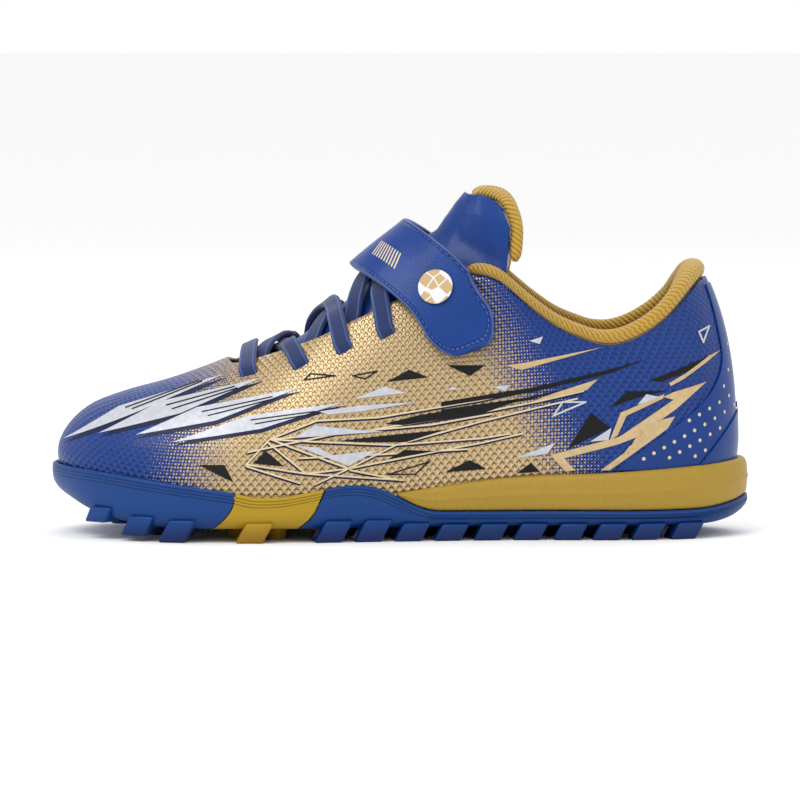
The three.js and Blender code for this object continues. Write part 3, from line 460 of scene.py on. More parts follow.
def ramp(tree, value, low, high, start=0.0, end=1.0):
    """The value's smooth step from low to high, as start to end."""
    made = put(tree, "MapRange", value, low, high, start, end)
    made.interpolation_type = "SMOOTHSTEP"
    return made.outputs[0]


def mix(tree, factor, a, b):
    made = tree.nodes.new("ShaderNodeMix")
    made.data_type = "RGBA"
    for key, value in (("Factor_Float", factor), ("A_Color", a), ("B_Color", b)):
        socket = next(s for s in made.inputs if s.identifier == key)
        if isinstance(value, bpy.types.NodeSocket):
            tree.links.new(value, socket)
        else:
            socket.default_value = value
    return next(s for s in made.outputs if s.identifier == "Result_Color")


def rgb(red, green, blue):
    """A colour given as 0-255 display values, in linear light."""
    return (*((c / 255) ** 2.2 for c in (red, green, blue)), 1)


def material(name, colour, roughness, metallic=0.0, coat=0.0, sheen=0.0, specular=0.5):
    made = bpy.data.materials.new(name)
    made.use_nodes = True
    shader = made.node_tree.nodes["Principled BSDF"]
    shader.inputs["Base Color"].default_value = colour
    shader.inputs["Roughness"].default_value = roughness
    shader.inputs["Metallic"].default_value = metallic
    shader.inputs["Coat Weight"].default_value = coat
    shader.inputs["Sheen Weight"].default_value = sheen
    shader.inputs["Specular IOR Level"].default_value = specular
    return made, made.node_tree, shader


def own_space(tree):
    """The place of a point in its object's space, in metres."""
    return put(tree, "TexCoord").outputs["Object"]


def sheet_space(tree):
    """The place of a point on its sheet, in millimetres of material, from the UV map."""
    return put(tree, "UVMap", uv_map="UVMap").outputs[0]


def relief(tree, shader, height, depth):
    """Raises the surface by a 0-1 height times a depth in millimetres."""
    bump = tree.nodes.new("ShaderNodeBump")
    bump.inputs["Strength"].default_value = 1
    bump.inputs["Distance"].default_value = depth * MM
    tree.links.new(height, bump.inputs["Height"])
    tree.links.new(bump.outputs["Normal"], shader.inputs["Normal"])
    return bump


def new_group(name, inputs, outputs):
    tree = bpy.data.node_groups.new(name, "ShaderNodeTree")
    for label, kind in inputs:
        tree.interface.new_socket(label, in_out="INPUT", socket_type="NodeSocket" + kind)
    for label, kind in outputs:
        tree.interface.new_socket(label, in_out="OUTPUT", socket_type="NodeSocket" + kind)
    return tree, tree.nodes.new("NodeGroupInput"), tree.nodes.new("NodeGroupOutput")


def use_group(tree, group, *values):
    made = put(tree, "Group")
    made.node_tree = group
    for i, value in enumerate(values):
        if isinstance(value, bpy.types.NodeSocket):
            tree.links.new(value, made.inputs[i])
        else:
            made.inputs[i].default_value = value
    return made


# %% [markdown]
# The moulded dimples lie in staggered rows. Turned by an eighth, such rows are a plain lattice of
# diamond cells: a = u / pitch + v / rise and b = u / pitch - v / rise. The distance to a cell's
# middle gives the dimple, and Shade marks where a painted shadow goes, under its upper rim.

# %% Dimple lattice
DIMPLE_PITCH, DIMPLE_RISE = 2.75, 3.1


def dimple_lattice():
    tree, source, result = new_group(
        "dimple_lattice", [("Place", "Vector")],
        [("Height", "Float"), ("Shade", "Float")])
    split = put(tree, "SeparateXYZ", source.outputs[0])
    u = sums(tree, "DIVIDE", split.outputs[0], DIMPLE_PITCH)
    v = sums(tree, "DIVIDE", split.outputs[1], DIMPLE_RISE)
    a, b = sums(tree, "ADD", u, v), sums(tree, "SUBTRACT", u, v)
    in_a = sums(tree, "SUBTRACT", sums(tree, "FRACT", a), 0.5)
    in_b = sums(tree, "SUBTRACT", sums(tree, "FRACT", b), 0.5)
    across = sums(tree, "MULTIPLY", sums(tree, "ADD", in_a, in_b), DIMPLE_PITCH / 2)
    up = sums(tree, "MULTIPLY", sums(tree, "SUBTRACT", in_a, in_b), DIMPLE_RISE / 2)
    flat = put(tree, "CombineXYZ", across, up, 0.0)
    distance = put(tree, "VectorMath", flat.outputs[0], operation="LENGTH").outputs["Value"]
    height = ramp(tree, distance, 0.35, 0.85)
    rim = ramp(tree, distance, 0.45, 0.85)
    above_middle = ramp(tree, up, -0.15, 0.6)
    tree.links.new(height, result.inputs[0])
    tree.links.new(sums(tree, "MULTIPLY", rim, above_middle), result.inputs[1])
    return tree


DIMPLES = dimple_lattice()

# %% Printed upper material
BLUE = rgb(6, 56, 128)
# The darker blue and the darker champagne are the dimples' painted shade.
DIMPLE_SHADE_BLUE = rgb(3, 20, 62)
CHAMPAGNE = rgb(190, 166, 126)
DIMPLE_SHADE_CHAMPAGNE = rgb(92, 66, 32)


def upper_material():
    made, tree, shader = material("printed_synthetic", BLUE, 0.36, coat=0.08, specular=0.3)
    place = sheet_space(tree)
    dimples = use_group(tree, DIMPLES, place)
    space = put(tree, "SeparateXYZ", own_space(tree))
    x = sums(tree, "DIVIDE", space.outputs[0], MM)
    z = sums(tree, "DIVIDE", space.outputs[2], MM)
    # Champagne from behind the toe to a line that slants down and back over the quarter. The two
    # colours meet in a screen of square dots that grow with the champagne's share.
    lean = sums(tree, "ADD", x, sums(tree, "MULTIPLY", z, 0.55))
    front = ramp(tree, sums(tree, "SUBTRACT", x, sums(tree, "MULTIPLY", z, 0.25)), -92, -52)
    rear = ramp(tree, lean, 48, 84, 1.0, 0.0)
    share = sums(tree, "MULTIPLY", front, rear)
    screen = put(tree, "SeparateXYZ", put(tree, "VectorMath", place, (0.9, 0.9, 0.9),
                                          operation="MULTIPLY").outputs[0])
    dots = [sums(tree, "ABSOLUTE", sums(tree, "SUBTRACT", sums(tree, "FRACT", screen.outputs[i]), 0.5))
            for i in range(2)]
    reach = sums(tree, "MULTIPLY", sums(tree, "SQRT", share), 0.54)
    chosen = sums(tree, "LESS_THAN", sums(tree, "MAXIMUM", *dots), reach)
    # Painted shade: blue and champagne turn darker under each dimple's upper rim.
    shade = dimples.outputs["Shade"]
    blue = mix(tree, sums(tree, "MULTIPLY", shade, 0.75), BLUE, DIMPLE_SHADE_BLUE)
    gold = mix(tree, sums(tree, "MULTIPLY", shade, 0.75), CHAMPAGNE, DIMPLE_SHADE_CHAMPAGNE)
    tree.links.new(mix(tree, chosen, blue, gold), shader.inputs["Base Color"])
    tree.links.new(sums(tree, "MULTIPLY", chosen, 0.55), shader.inputs["Metallic"])
    relief(tree, shader, dimples.outputs["Height"], 0.34)
    return made


UPPER_SKIN = upper_material()
print("upper material ready")

# %% [markdown]
# ## Upper
# The upper is one moulded synthetic sheet, pulled over the last, closed over the toes and open at
# the throat and the ankle. It is wrapped round the last as a fine grid and thickened inwards,
# because only a sheet with its real thickness shows a true cut edge at the throat.

# %% Upper
EYELETS = [(-50.3, 55.2), (-33.4, 58.4), (-19, 63.8), (-5, 69)]


def throat_top(side, t):
    return 1 if t <= THROAT_OPENS else rib_reaches(side, t, throat_edge)


def make_upper():
    """The upper, and a search tree of its outside in millimetres."""
    stations = steps(90, 0, THROAT_OPENS) + steps(170, THROAT_OPENS, 1)[1:]
    bm = last_sheet(stations, lambda side, t: 0, throat_top, 46)
    outside = BVHTree.FromBMesh(bm)
    piece = mesh_object("upper_skin", bm)
    thicken(piece, UPPER)
    finish_piece(piece, UPPER_SKIN, "upper_leather", replaced=["upper"])
    return piece, outside


upper_skin, UPPER_TREE = make_upper()
print("upper", len(upper_skin.data.polygons), "faces")

# %% [markdown]
# ## Outsole
# The outsole is moulded rubber in three colours: a toe section, a gold band under the ball of the
# foot and a rear section, which meet along slanted lines. Each section is one loft round the
# outline, from the centre line underneath, out and up the wall, to the lip against the upper. Four
# fine grooves follow the lip; they are relief in the rubber, so they come from the UV map.

# %% Rubber
def grooved_rubber(name, colour, dark):
    """Rubber with four grooves below the lip, with painted shade in the grooves and low down. V is the
    way down from the lip.
    """
    made, tree, shader = material(name, colour, 0.45, coat=0.05, specular=0.25)
    place = put(tree, "SeparateXYZ", sheet_space(tree))
    down = place.outputs[1]
    wave = sums(tree, "ABSOLUTE", sums(tree, "SUBTRACT", sums(
        tree, "FRACT", sums(tree, "DIVIDE", down, 1.05)), 0.5))
    groove = ramp(tree, wave, 0.0, 0.17, 1.0, 0.0)
    near_lip = sums(tree, "MULTIPLY", ramp(tree, down, 0.6, 0.7), ramp(tree, down, 4.5, 4.7, 1.0, 0.0))
    cut = sums(tree, "MULTIPLY", groove, near_lip)
    # Painted shade: the rubber darkens from 9 mm down to its bottom, and the grooves take the same dark
    # colour.
    height = put(tree, "SeparateXYZ", own_space(tree)).outputs[2]
    low = ramp(tree, sums(tree, "DIVIDE", height, MM), 0.5, 9.0, 0.75, 0.0)
    shaded_low = mix(tree, low, colour, dark)
    tree.links.new(mix(tree, sums(tree, "MULTIPLY", cut, 0.8), shaded_low, dark), shader.inputs["Base Color"])
    relief(tree, shader, sums(tree, "SUBTRACT", 1.0, cut), 0.3)
    return made


OUTSOLE_BLUE = rgb(6, 58, 118)
OUTSOLE_GOLD = rgb(164, 132, 30)
# The second colour of each rubber is its painted shade.
BLUE_RUBBER = grooved_rubber("blue_rubber", OUTSOLE_BLUE, rgb(10, 26, 70))
GOLD_RUBBER = grooved_rubber("gold_rubber", OUTSOLE_GOLD, rgb(120, 88, 16))


# %% Outsole
def fold(t):
    return -t if t < 0 else 2 - t if t > 1 else t


def wall_height(share):
    return lambda x: web_z(x) + share * (outsole_top(x) - web_z(x))


def below_lip(drop):
    return lambda x: max(outsole_top(x) - drop, web_z(x) + 0.5)


def fixed(value):
    return lambda t: value


def inner(extra):
    return lambda t: side_inset(fold(t))[0] + extra


# Each row is an inset from the outline, a height, and the share of the width that it stands at.
OUTSOLE_ROWS = [
    (fixed(4.2), wall_height(0), 0.0), (fixed(4.2), wall_height(0), 0.5),
    (fixed(4.2), wall_height(0), 1), (fixed(2.9), wall_height(0.03), 1),
    (fixed(1.7), wall_height(0.13), 1), (fixed(0.8), wall_height(0.28), 1),
    (fixed(0.35), wall_height(0.45), 1), (fixed(0.2), wall_height(0.62), 1),
    (fixed(0.2), below_lip(2.2), 1), (fixed(0.25), below_lip(0.8), 1),
    (fixed(0.45), below_lip(0.25), 1), (fixed(0.9), below_lip(0), 1),
    (inner(-0.2), below_lip(0.1), 1), (inner(0.4), below_lip(1.0), 1), (inner(1.4), below_lip(4.5), 1)]
TOE_SPLIT = curve([(-4, -68), (3.5, -63), (7, -58.5), (11.5, -55), (16.8, -54), (30, -53)])
REAR_SPLIT = curve([(-4, -40), (1, -37), (5, -32.5), (9, -28.5), (14, -26), (17.5, -24.6), (30, -23)])


SEAM = 0.5


def split_station(line, height, gap):
    """Where a row meets a slanted line between two sections."""
    x = line(10)[0]
    for _ in range(14):
        x = (x + line(height(x))[0] + gap) / 2
    return station(x)


def sole_section(bm, side, rows, start, end, columns, lip):
    """A loft of rows; start and end give the station of a row's ends. lip is the row at the lip."""
    spans = [(start(height), end(height)) for _, height, _ in rows]

    def point(i, j):
        inset, height, share = rows[j]
        t = spans[j][0] + (spans[j][1] - spans[j][0]) * i / columns
        x, y = outline(side, t, inset(t))
        return Vector((x, y * share, height(x)))
    points = [[point(i, j) for j in range(len(rows))] for i in range(columns + 1)]
    downward = [running_lengths(column) for column in points]
    middle = len(rows) // 2
    along = running_lengths([column[middle] for column in points])
    add_grid(bm, columns, len(rows) - 1, lambda i, j: points[i][j], flip=side > 0,
             uv=lambda i, j: (along[i], downward[i][lip] - downward[i][j]))


def toe_end(height):
    return split_station(TOE_SPLIT, height, -SEAM / 2)


def band_start(height):
    return split_station(TOE_SPLIT, height, SEAM / 2)


def band_end(height):
    return split_station(REAR_SPLIT, height, -SEAM / 2)


def rear_start(height):
    return split_station(REAR_SPLIT, height, SEAM / 2)


LIP_ROW = 11


def outsole_mesh(kind):
    bm = bmesh.new()
    if kind == "toe":
        sole_section(bm, -1, OUTSOLE_ROWS, lambda h: -toe_end(h), toe_end, 110, LIP_ROW)
    elif kind == "rear":
        sole_section(bm, -1, OUTSOLE_ROWS, rear_start, lambda h: 2 - rear_start(h), 200, LIP_ROW)
    else:
        for side in (-1, 1):
            sole_section(bm, side, OUTSOLE_ROWS, band_start, band_end, 16, LIP_ROW)
    bmesh.ops.remove_doubles(bm, verts=bm.verts, dist=1e-3)
    return bm


# %% [markdown]
# Turf studs stand under the outsole, and slanted lugs run round its edge and lap up on the wall.
# They are moulded with it, so they belong to the section over them.

# %% Studs and lugs
STUD_PITCH, STUD_RADIUS, LUG_WIDTH = 13, 3.6, 8
TOE_X, REAR_X = TOE_SPLIT(4.5)[0], REAR_SPLIT(4.5)[0]


def section_at(x):
    reach = 0.62 * LUG_WIDTH + GAP
    if abs(x - TOE_X) <= reach or abs(x - REAR_X) <= reach:
        return None
    return "toe" if x < TOE_X else "band" if x < REAR_X else "rear"


def add_solid(bm, made, shape, bevel):
    """Moves each corner of a new solid by shape, rounds its edges and sets a plain UV."""
    verts = made["verts"]
    for v in verts:
        v.co = shape(v.co)
    edges = list({e for v in verts for e in v.link_edges})
    out = bmesh.ops.bevel(bm, geom=edges, offset=bevel, segments=2, affect="EDGES", profile=0.5,
                          material=-1)
    layer = bm.loops.layers.uv.get("UVMap")
    for f in {f for v in out["verts"] for f in v.link_faces}:
        for loop in f.loops:
            loop[layer].uv = (0, 20)


def add_stud(bm, x, y):
    foot, root = stud_z(x), web_z(x) + 1.2
    made = bmesh.ops.create_cone(
        bm, cap_ends=True, segments=12, radius1=STUD_RADIUS * 0.8, radius2=STUD_RADIUS * 1.2,
        depth=root - foot)
    add_solid(bm, made, lambda c: Vector((x + c.x, y + c.y, (foot + root) / 2 + c.z)), 0.5)


def add_lug(bm, side, x):
    """A lug along the edge, slanted forwards as it rises and set on the wall by its outer face."""
    t = station(x)
    px, py = outline(side, t, 0.35 + LUG_WIDTH / 2)
    ax, ay = outline(side, t - 0.01, 0)
    bx, by = outline(side, t + 0.01, 0)
    turn = Matrix.Rotation(math.atan2(by - ay, bx - ax), 3, "Z")
    foot = stud_z(px)
    root = web_z(px) + 0.2 * (outsole_top(px) - web_z(px))
    made = bmesh.ops.create_cube(bm, size=1)

    def shape(c):
        rise = (c.z + 0.5) * (root - foot)
        out = c.y * LUG_WIDTH
        if out * side > 0:
            out += side * 0.35 * (c.z + 0.5)
        place = turn @ Vector((c.x * LUG_WIDTH * 1.12 + 0.55 * (rise - 3), out, 0))
        return Vector((px + place.x, py + place.y, foot + rise))
    add_solid(bm, made, shape, 0.8)


def studs_of(kind, bm):
    for row in range(int(0.82 * LENGTH / STUD_PITCH)):
        x = -0.4 * LENGTH + row * STUD_PITCH
        if section_at(x) != kind:
            continue
        for side in (-1, 1):
            room = half_widths(station(x))[0 if side < 0 else 1] - LUG_WIDTH - 2.2 * STUD_RADIUS
            y = (0.5 if row % 2 else 1 if side < 0 else 0) * STUD_PITCH
            while y < room:
                add_stud(bm, x, side * y)
                y += STUD_PITCH
    x = -0.43 * LENGTH
    while x < 0.46 * LENGTH:
        if section_at(x) == kind:
            for side in (-1, 1):
                add_lug(bm, side, x)
        x += STUD_PITCH


SECTIONS = [("toe", BLUE_RUBBER, "outsole_blue"), ("band", GOLD_RUBBER, "outsole_gold"),
            ("rear", BLUE_RUBBER, "outsole_blue")]
for kind, rubber, slot_name in SECTIONS:
    bm = outsole_mesh(kind)
    studs_of(kind, bm)
    section = mesh_object("outsole_" + kind + "_rubber", bm)
    finish_piece(section, rubber, slot_name, replaced=["outsole_" + kind])
    print(section.name, len(section.data.polygons), "faces")

# %% [markdown]
# ## Midsole
# The midsole is foam under the arch and the heel. Its side is a gold band with a soft ridge along
# its middle and a bevel on top. Ahead of the arch it is only a floor inside the outsole.

# %% Midsole
MIDSOLE_FRONT = -0.5


def band_height(share):
    def at(x):
        low = outsole_top(x) + GAP
        return low + share * (max(midsole_top(x), low + 0.4) - low)
    return at


def floor_height(share):
    return lambda x: web_z(x) + WEB + GAP + share * (feather_z(x) - web_z(x) - WEB - 2 * GAP)


MIDSOLE_ROWS = [
    (fixed(4), band_height(0), 0), (fixed(4), band_height(0), 1),
    (fixed(1.2), band_height(0.0), 1), (fixed(0.55), band_height(0.06), 1),
    (fixed(0.4), band_height(0.2), 1), (fixed(0.25), band_height(0.36), 1),
    (fixed(0.05), band_height(0.43), 1), (fixed(0.0), band_height(0.47), 1),
    (fixed(0.2), band_height(0.52), 1), (fixed(0.35), band_height(0.7), 1),
    (fixed(0.5), band_height(0.82), 1), (fixed(1.0), band_height(0.93), 1),
    (fixed(1.7), band_height(0.99), 1), (inner(0.0), band_height(1), 1),
    (inner(1.2), band_height(0.9), 1), (inner(2.6), band_height(0.6), 1),
    (inner(2.6), band_height(0.6), 0)]
FLOOR_ROWS = [(fixed(4.4), floor_height(0), 0), (fixed(4.4), floor_height(0), 1),
              (fixed(3.8), floor_height(0.2), 1), (fixed(3.8), floor_height(1), 1),
              (fixed(3.8), floor_height(1), 0)]


def midsole_material():
    made, tree, shader = material("gold_foam", rgb(152, 122, 30), 0.5)
    place = own_space(tree)
    noise = put(tree, "TexNoise", place)
    noise.inputs["Scale"].default_value = 900
    tree.links.new(mix(tree, noise.outputs["Fac"], rgb(146, 114, 24), rgb(162, 132, 36)),
                   shader.inputs["Base Color"])
    relief(tree, shader, noise.outputs["Fac"], 0.03)
    return made


bm = bmesh.new()
front = station(MIDSOLE_FRONT)
sole_section(bm, -1, MIDSOLE_ROWS, fixed(front), fixed(2 - front), 180, 0)
sole_section(bm, -1, FLOOR_ROWS, fixed(-front), fixed(front), 60, 0)
bmesh.ops.remove_doubles(bm, verts=bm.verts, dist=1e-3)
midsole_foam = mesh_object("midsole_band", bm)
finish_piece(midsole_foam, midsole_material(), "midsole_foam", replaced=["midsole"])

# %% [markdown]
# ## Heel overlay and cap
# Two smooth synthetic patches are sewn over the heel, the larger under the smaller. They are cut
# from the same skin behind a curved line, so they are made as the skin lifted by their thickness.

# %% Smooth leather
def grained_leather(name, colour, rough=0.34):
    """Smooth coated leather with a fine grain, read from the object's own space."""
    made, tree, shader = material(name, colour, rough, coat=0.06, specular=0.25)
    place = own_space(tree)
    grain = put(tree, "TexVoronoi", place)
    grain.inputs["Scale"].default_value = 1300
    cloud = put(tree, "TexNoise", place)
    cloud.inputs["Scale"].default_value = 90
    tree.links.new(mix(tree, ramp(tree, cloud.outputs["Fac"], 0.3, 0.7), colour,
                       tuple(c * 0.86 for c in colour[:3]) + (1,)), shader.inputs["Base Color"])
    relief(tree, shader, grain.outputs["Distance"], 0.05)
    return made


SMOOTH_BLUE = grained_leather("smooth_blue_leather", rgb(6, 54, 122))
OVERLAY_FRONT = curve([
    (20, 67), (31.7, 82.7), (38.9, 92.9), (45.5, 100.5), (52.1, 104.9), (57.8, 106.4), (63.7, 105.9),
    (74.9, 103.5), (84.8, 100.4)])
CAP_FRONT = curve([(20, 94), (23.1, 97.4), (29.4, 102.8), (36, 108.1), (40.9, 111.4), (44.6, 113)])


# %% Heel patches
def heel_patch(name, line, low_z, high_z, lift, thickness):
    """A patch round the heel, from its front line, given over height, to the back seam."""
    rows, half = 30, 26
    sides = {}
    for side in (-1, 1):
        columns = []
        for j in range(rows + 1):
            z = low_z + (high_z - low_z) * j / rows
            low, high = station(40), 1.0
            for _ in range(16):
                middle = (low + high) / 2
                p = rib_profile(side, middle)(rib_reaches(side, middle, lambda x: z))
                low, high = (middle, high) if p.x < line(z)[0] else (low, middle)
            ts = steps(half, low, 1)
            columns.append([rib_profile(side, t)(rib_reaches(side, t, lambda x: z)) for t in ts])
        sides[side] = columns
    bm = bmesh.new()
    for side in (-1, 1):
        add_grid(bm, half, rows, lambda i, j: sides[side][j][i], flip=side > 0,
                 uv=lambda i, j: (i, j))
    bmesh.ops.remove_doubles(bm, verts=bm.verts, dist=1e-3)
    lift_along_normals(bm, lift)
    piece = mesh_object(name, bm)
    thicken(piece, thickness)
    soften(piece, 0.18)
    return piece


overlay = heel_patch("heel_overlay_patch", OVERLAY_FRONT, 23, 83, 0.55, 0.55)
finish_piece(overlay, SMOOTH_BLUE, "smooth_leather", replaced=["heel_overlay"])
cap = heel_patch("heel_cap_patch", CAP_FRONT, 23, 43.5, 1.1, 0.55)
finish_piece(cap, SMOOTH_BLUE, "smooth_leather", replaced=["heel_cap"])

# %% [markdown]
# ## Collar
# A padded roll in gold knit runs round the ankle opening; its diagonal ribs come from the knit
# being sewn on round a foam core. Inside, a foam pad under the same knit fills the collar. The
# roll is a tube swept along the edge, with its ends drawn in; the pad is a puffed sheet.

# %% Knit materials
def ribbed_knit():
    """Knit pulled round a core: diagonal ribs along U, from a UV map of length and girth."""
    made, tree, shader = material("ribbed_knit", rgb(190, 148, 40), 0.75, sheen=0.3)
    place = put(tree, "SeparateXYZ", sheet_space(tree))
    u, v = place.outputs[0], place.outputs[1]
    slant = sums(tree, "DIVIDE", sums(tree, "ADD", u, sums(tree, "MULTIPLY", v, 0.6)), 1.8)
    wave = sums(tree, "ABSOLUTE", sums(tree, "SUBTRACT", sums(tree, "FRACT", slant), 0.5))
    line = ramp(tree, wave, 0.0, 0.14, 1.0, 0.0)
    fine = sums(tree, "SINE", sums(tree, "MULTIPLY", sums(tree, "SUBTRACT", u, v), 9.0))
    tree.links.new(mix(tree, sums(tree, "MULTIPLY", line, 0.8), rgb(190, 148, 40), rgb(96, 64, 14)),
                   shader.inputs["Base Color"])
    height = sums(tree, "ADD", ramp(tree, wave, 0.0, 0.4), sums(tree, "MULTIPLY", fine, 0.08))
    relief(tree, shader, height, 0.45)
    return made


def mesh_knit(name, colour, dark, pitch=1.4):
    """A flat knit with small staggered holes, from the object's own space."""
    made, tree, shader = material(name, colour, 0.85, sheen=0.3)
    place = own_space(tree)
    holes = put(tree, "TexVoronoi", place)
    holes.inputs["Scale"].default_value = 1000 / pitch
    holes.inputs["Randomness"].default_value = 0.35
    hole = ramp(tree, holes.outputs["Distance"], 0.12, 0.4)
    tree.links.new(mix(tree, hole, dark, colour), shader.inputs["Base Color"])
    relief(tree, shader, hole, 0.2)
    return made


RIBBED_GOLD = ribbed_knit()
LINING_GOLD = mesh_knit("lining_knit", rgb(196, 154, 48), rgb(120, 88, 24))


# %% Tubes
def add_tube(bm, rings, girth):
    """A tube through rings of points, its ends closed, with length and girth as its UV."""
    sides = len(rings[0])
    along = running_lengths([ring[0] for ring in rings])
    made = add_grid(bm, len(rings) - 1, sides, lambda i, j: rings[i][j % sides],
                    uv=lambda i, j: (along[i], girth * j / sides), flip=True)
    verts = list({v for f in made for v in f.verts})
    bmesh.ops.remove_doubles(bm, verts=verts, dist=1e-4)


def close_up(bm):
    """Caps the open ends and turns every face outwards."""
    bmesh.ops.holes_fill(bm, edges=[e for e in bm.edges if e.is_boundary], sides=0)
    bmesh.ops.recalc_face_normals(bm, faces=bm.faces)


# %% Collar roll
COLLAR_FRONT, ROLL_SIDES = 20, 16


def roll_ring(side, t, shrink):
    start = station(COLLAR_FRONT)
    back = smooth((t - start) / (1 - start), 0.1, 0.95)
    radius = 2.2 + 1.9 * back
    tall = radius * 0.78 + 0.4
    q = throat_top(side, t)
    out = skin_out(side, t, q)
    step = 2e-3
    upward = (skin(side, t, q + step) - skin(side, t, q - step)).normalized()
    middle = skin(side, t, q) + out * (1 - radius) + upward * (tall + GAP)
    ring = []
    for i in range(ROLL_SIDES):
        angle = 2 * math.pi * i / ROLL_SIDES
        ring.append(middle + out * radius * shrink * math.cos(angle)
                    + upward * tall * shrink * math.sin(angle))
    return ring


half = steps(110, station(COLLAR_FRONT), 1)
shrinks = [0.35, 0.75, 0.93] + [1.0] * (len(half) - 3)
rings = [roll_ring(-1, t, s) for t, s in zip(half, shrinks)]
rings += [roll_ring(1, t, s) for t, s in zip(half[:-1], shrinks)][::-1]
bm = bmesh.new()
add_tube(bm, rings, girth=22)
close_up(bm)
roll = mesh_object("collar_rope", bm)
finish_piece(roll, RIBBED_GOLD, "gold_textile", replaced=["collar_roll"])
print("collar roll", len(roll.data.polygons), "faces")

# %% Collar pad
PAD_FRONT, PAD_LOW = 41, 47
COLLAR_FOAM, COLLAR_LINING = 3.6, 0.8


def pad_low(side, t):
    return rib_reaches(side, t, lambda x: PAD_LOW)


bm = last_sheet(steps(80, station(PAD_FRONT), 1), pad_low, throat_top, 18,
                lift=-(UPPER + GAP) - 0.1)
pad = mesh_object("collar_pad", bm)
thicken(pad, COLLAR_FOAM + COLLAR_LINING + GAP - 0.2)
soften(pad, 1.5, segments=3)
finish_piece(pad, LINING_GOLD, "gold_textile", replaced=["collar_foam", "collar_lining"])

# %% [markdown]
# ## Inner layers
# The lining, the stiffeners at toe and heel and the board under the sock liner are plain cut
# layers that the model has already. They keep its shape and only get their cloth, board and
# plastic. The sock liner is a foam cushion, so it is made again with a rounded edge.

# %% Inner layers
def flecked(name, colour, rough, scale):
    """A plain pressed material: fibres or foam cells as a fine fleck, in the object's own space."""
    made, tree, shader = material(name, colour, rough)
    place = own_space(tree)
    noise = put(tree, "TexNoise", place)
    noise.inputs["Scale"].default_value = scale
    noise.inputs["Detail"].default_value = 4
    tree.links.new(mix(tree, ramp(tree, noise.outputs["Fac"], 0.3, 0.7), tuple(
        c * 0.7 for c in colour[:3]) + (1,), colour), shader.inputs["Base Color"])
    relief(tree, shader, noise.outputs["Fac"], 0.12)
    return made


STIFFENER = flecked("stiffener_sheet", rgb(36, 36, 40), 0.75, 700)
BOARD_FELT = flecked("board_felt", rgb(214, 212, 206), 0.95, 900)
for name, made, slot_name in (
        ("strobel_board", BOARD_FELT, "board_felt"), ("toe_puff", STIFFENER, "stiffener"),
        ("heel_counter", STIFFENER, "stiffener"), ("inner_lining", LINING_GOLD, "gold_textile")):
    finish_piece(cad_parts[name], made, slot_name, body=None)

# %% Sock liner
BOARD, SOCK_LINER = 1.5, 3
LINING_OUT = UPPER + SEAT + STIFFENER_THICK + GAP
LINER_INSET = TUCK + LINING_OUT + LINING_THICK + 2 * GAP


def liner_height(share):
    return lambda x: (feather_z(x) + BOARD + GAP
                      + share * (SOCK_LINER + 2 * smooth(x, 0, 60)))


LINER_ROWS = [
    (inner(LINER_INSET), liner_height(0.05), 0), (inner(LINER_INSET + 8), liner_height(0.02), 1),
    (inner(LINER_INSET + 0.5), liner_height(0.05), 1), (inner(LINER_INSET), liner_height(0.3), 1),
    (inner(LINER_INSET), liner_height(0.7), 1), (inner(LINER_INSET + 0.5), liner_height(0.92), 1),
    (inner(LINER_INSET + 1.6), liner_height(1), 1), (inner(LINER_INSET + 8), liner_height(0.92), 1),
    (inner(LINER_INSET), liner_height(0.85), 0)]
bm = bmesh.new()
sole_section(bm, -1, LINER_ROWS, fixed(-1), fixed(1), 150, 0)
bmesh.ops.remove_doubles(bm, verts=bm.verts, dist=1e-3)
liner = mesh_object("sock_liner_cushion", bm)
finish_piece(liner, LINING_GOLD, "gold_textile", replaced=["sock_liner"])

# %% [markdown]
# ## Tongue
# The tongue is one padded piece: smooth leather outside, foam, and knit inside. It lies under the
# laces and its top folds forwards when a foot goes in. It is made as a single cushion, a little
# sunk where the top would fold. A corded edge is sewn round the top.

# %% Tongue
TONGUE_DEPTH = UPPER + LACE_THICK + 2 * LACE_LIFT + 2 * GAP
TONGUE_FACE, TONGUE_FOAM, TONGUE_LINING = 1.2, 2.4, 0.7
TONGUE_THICK = TONGUE_FACE + TONGUE_FOAM + TONGUE_LINING + 2 * GAP
tongue_top_z = height_curve([
    (16, 128), (20, 119), (22.5, 112.6), (27, 112.4), (31, 111), (34, 107.5), (36.5, 101), (39, 90)])
TONGUE_CREST = opens_at(tongue_top_z, -TONGUE_DEPTH, 4, 22)
TONGUE_START, TONGUE_END = station(-61), station(33.5)
TONGUE_HINGE_X = 4.5


def tongue_low(side, t):
    return min(0.93, rib_reaches(
        side, t, lambda x: min(throat_edge(x) - 13, 76), -TONGUE_DEPTH))


def tongue_high(side, t):
    return 1 if t <= TONGUE_CREST else rib_reaches(side, t, tongue_top_z, -TONGUE_DEPTH)


hinge = above(-1, station(TONGUE_HINGE_X), 1, -TONGUE_DEPTH)
print("tongue hinge", [round(c, 2) for c in hinge])
fold_normal = Vector((0.41, 0, 0.91)).normalized()


def fold_points(middle, direction, before, after):
    return [tuple((middle + direction * d) * MM) for d in (-before, after)]


def fold_height(p):
    return (p - hinge).dot(fold_normal)


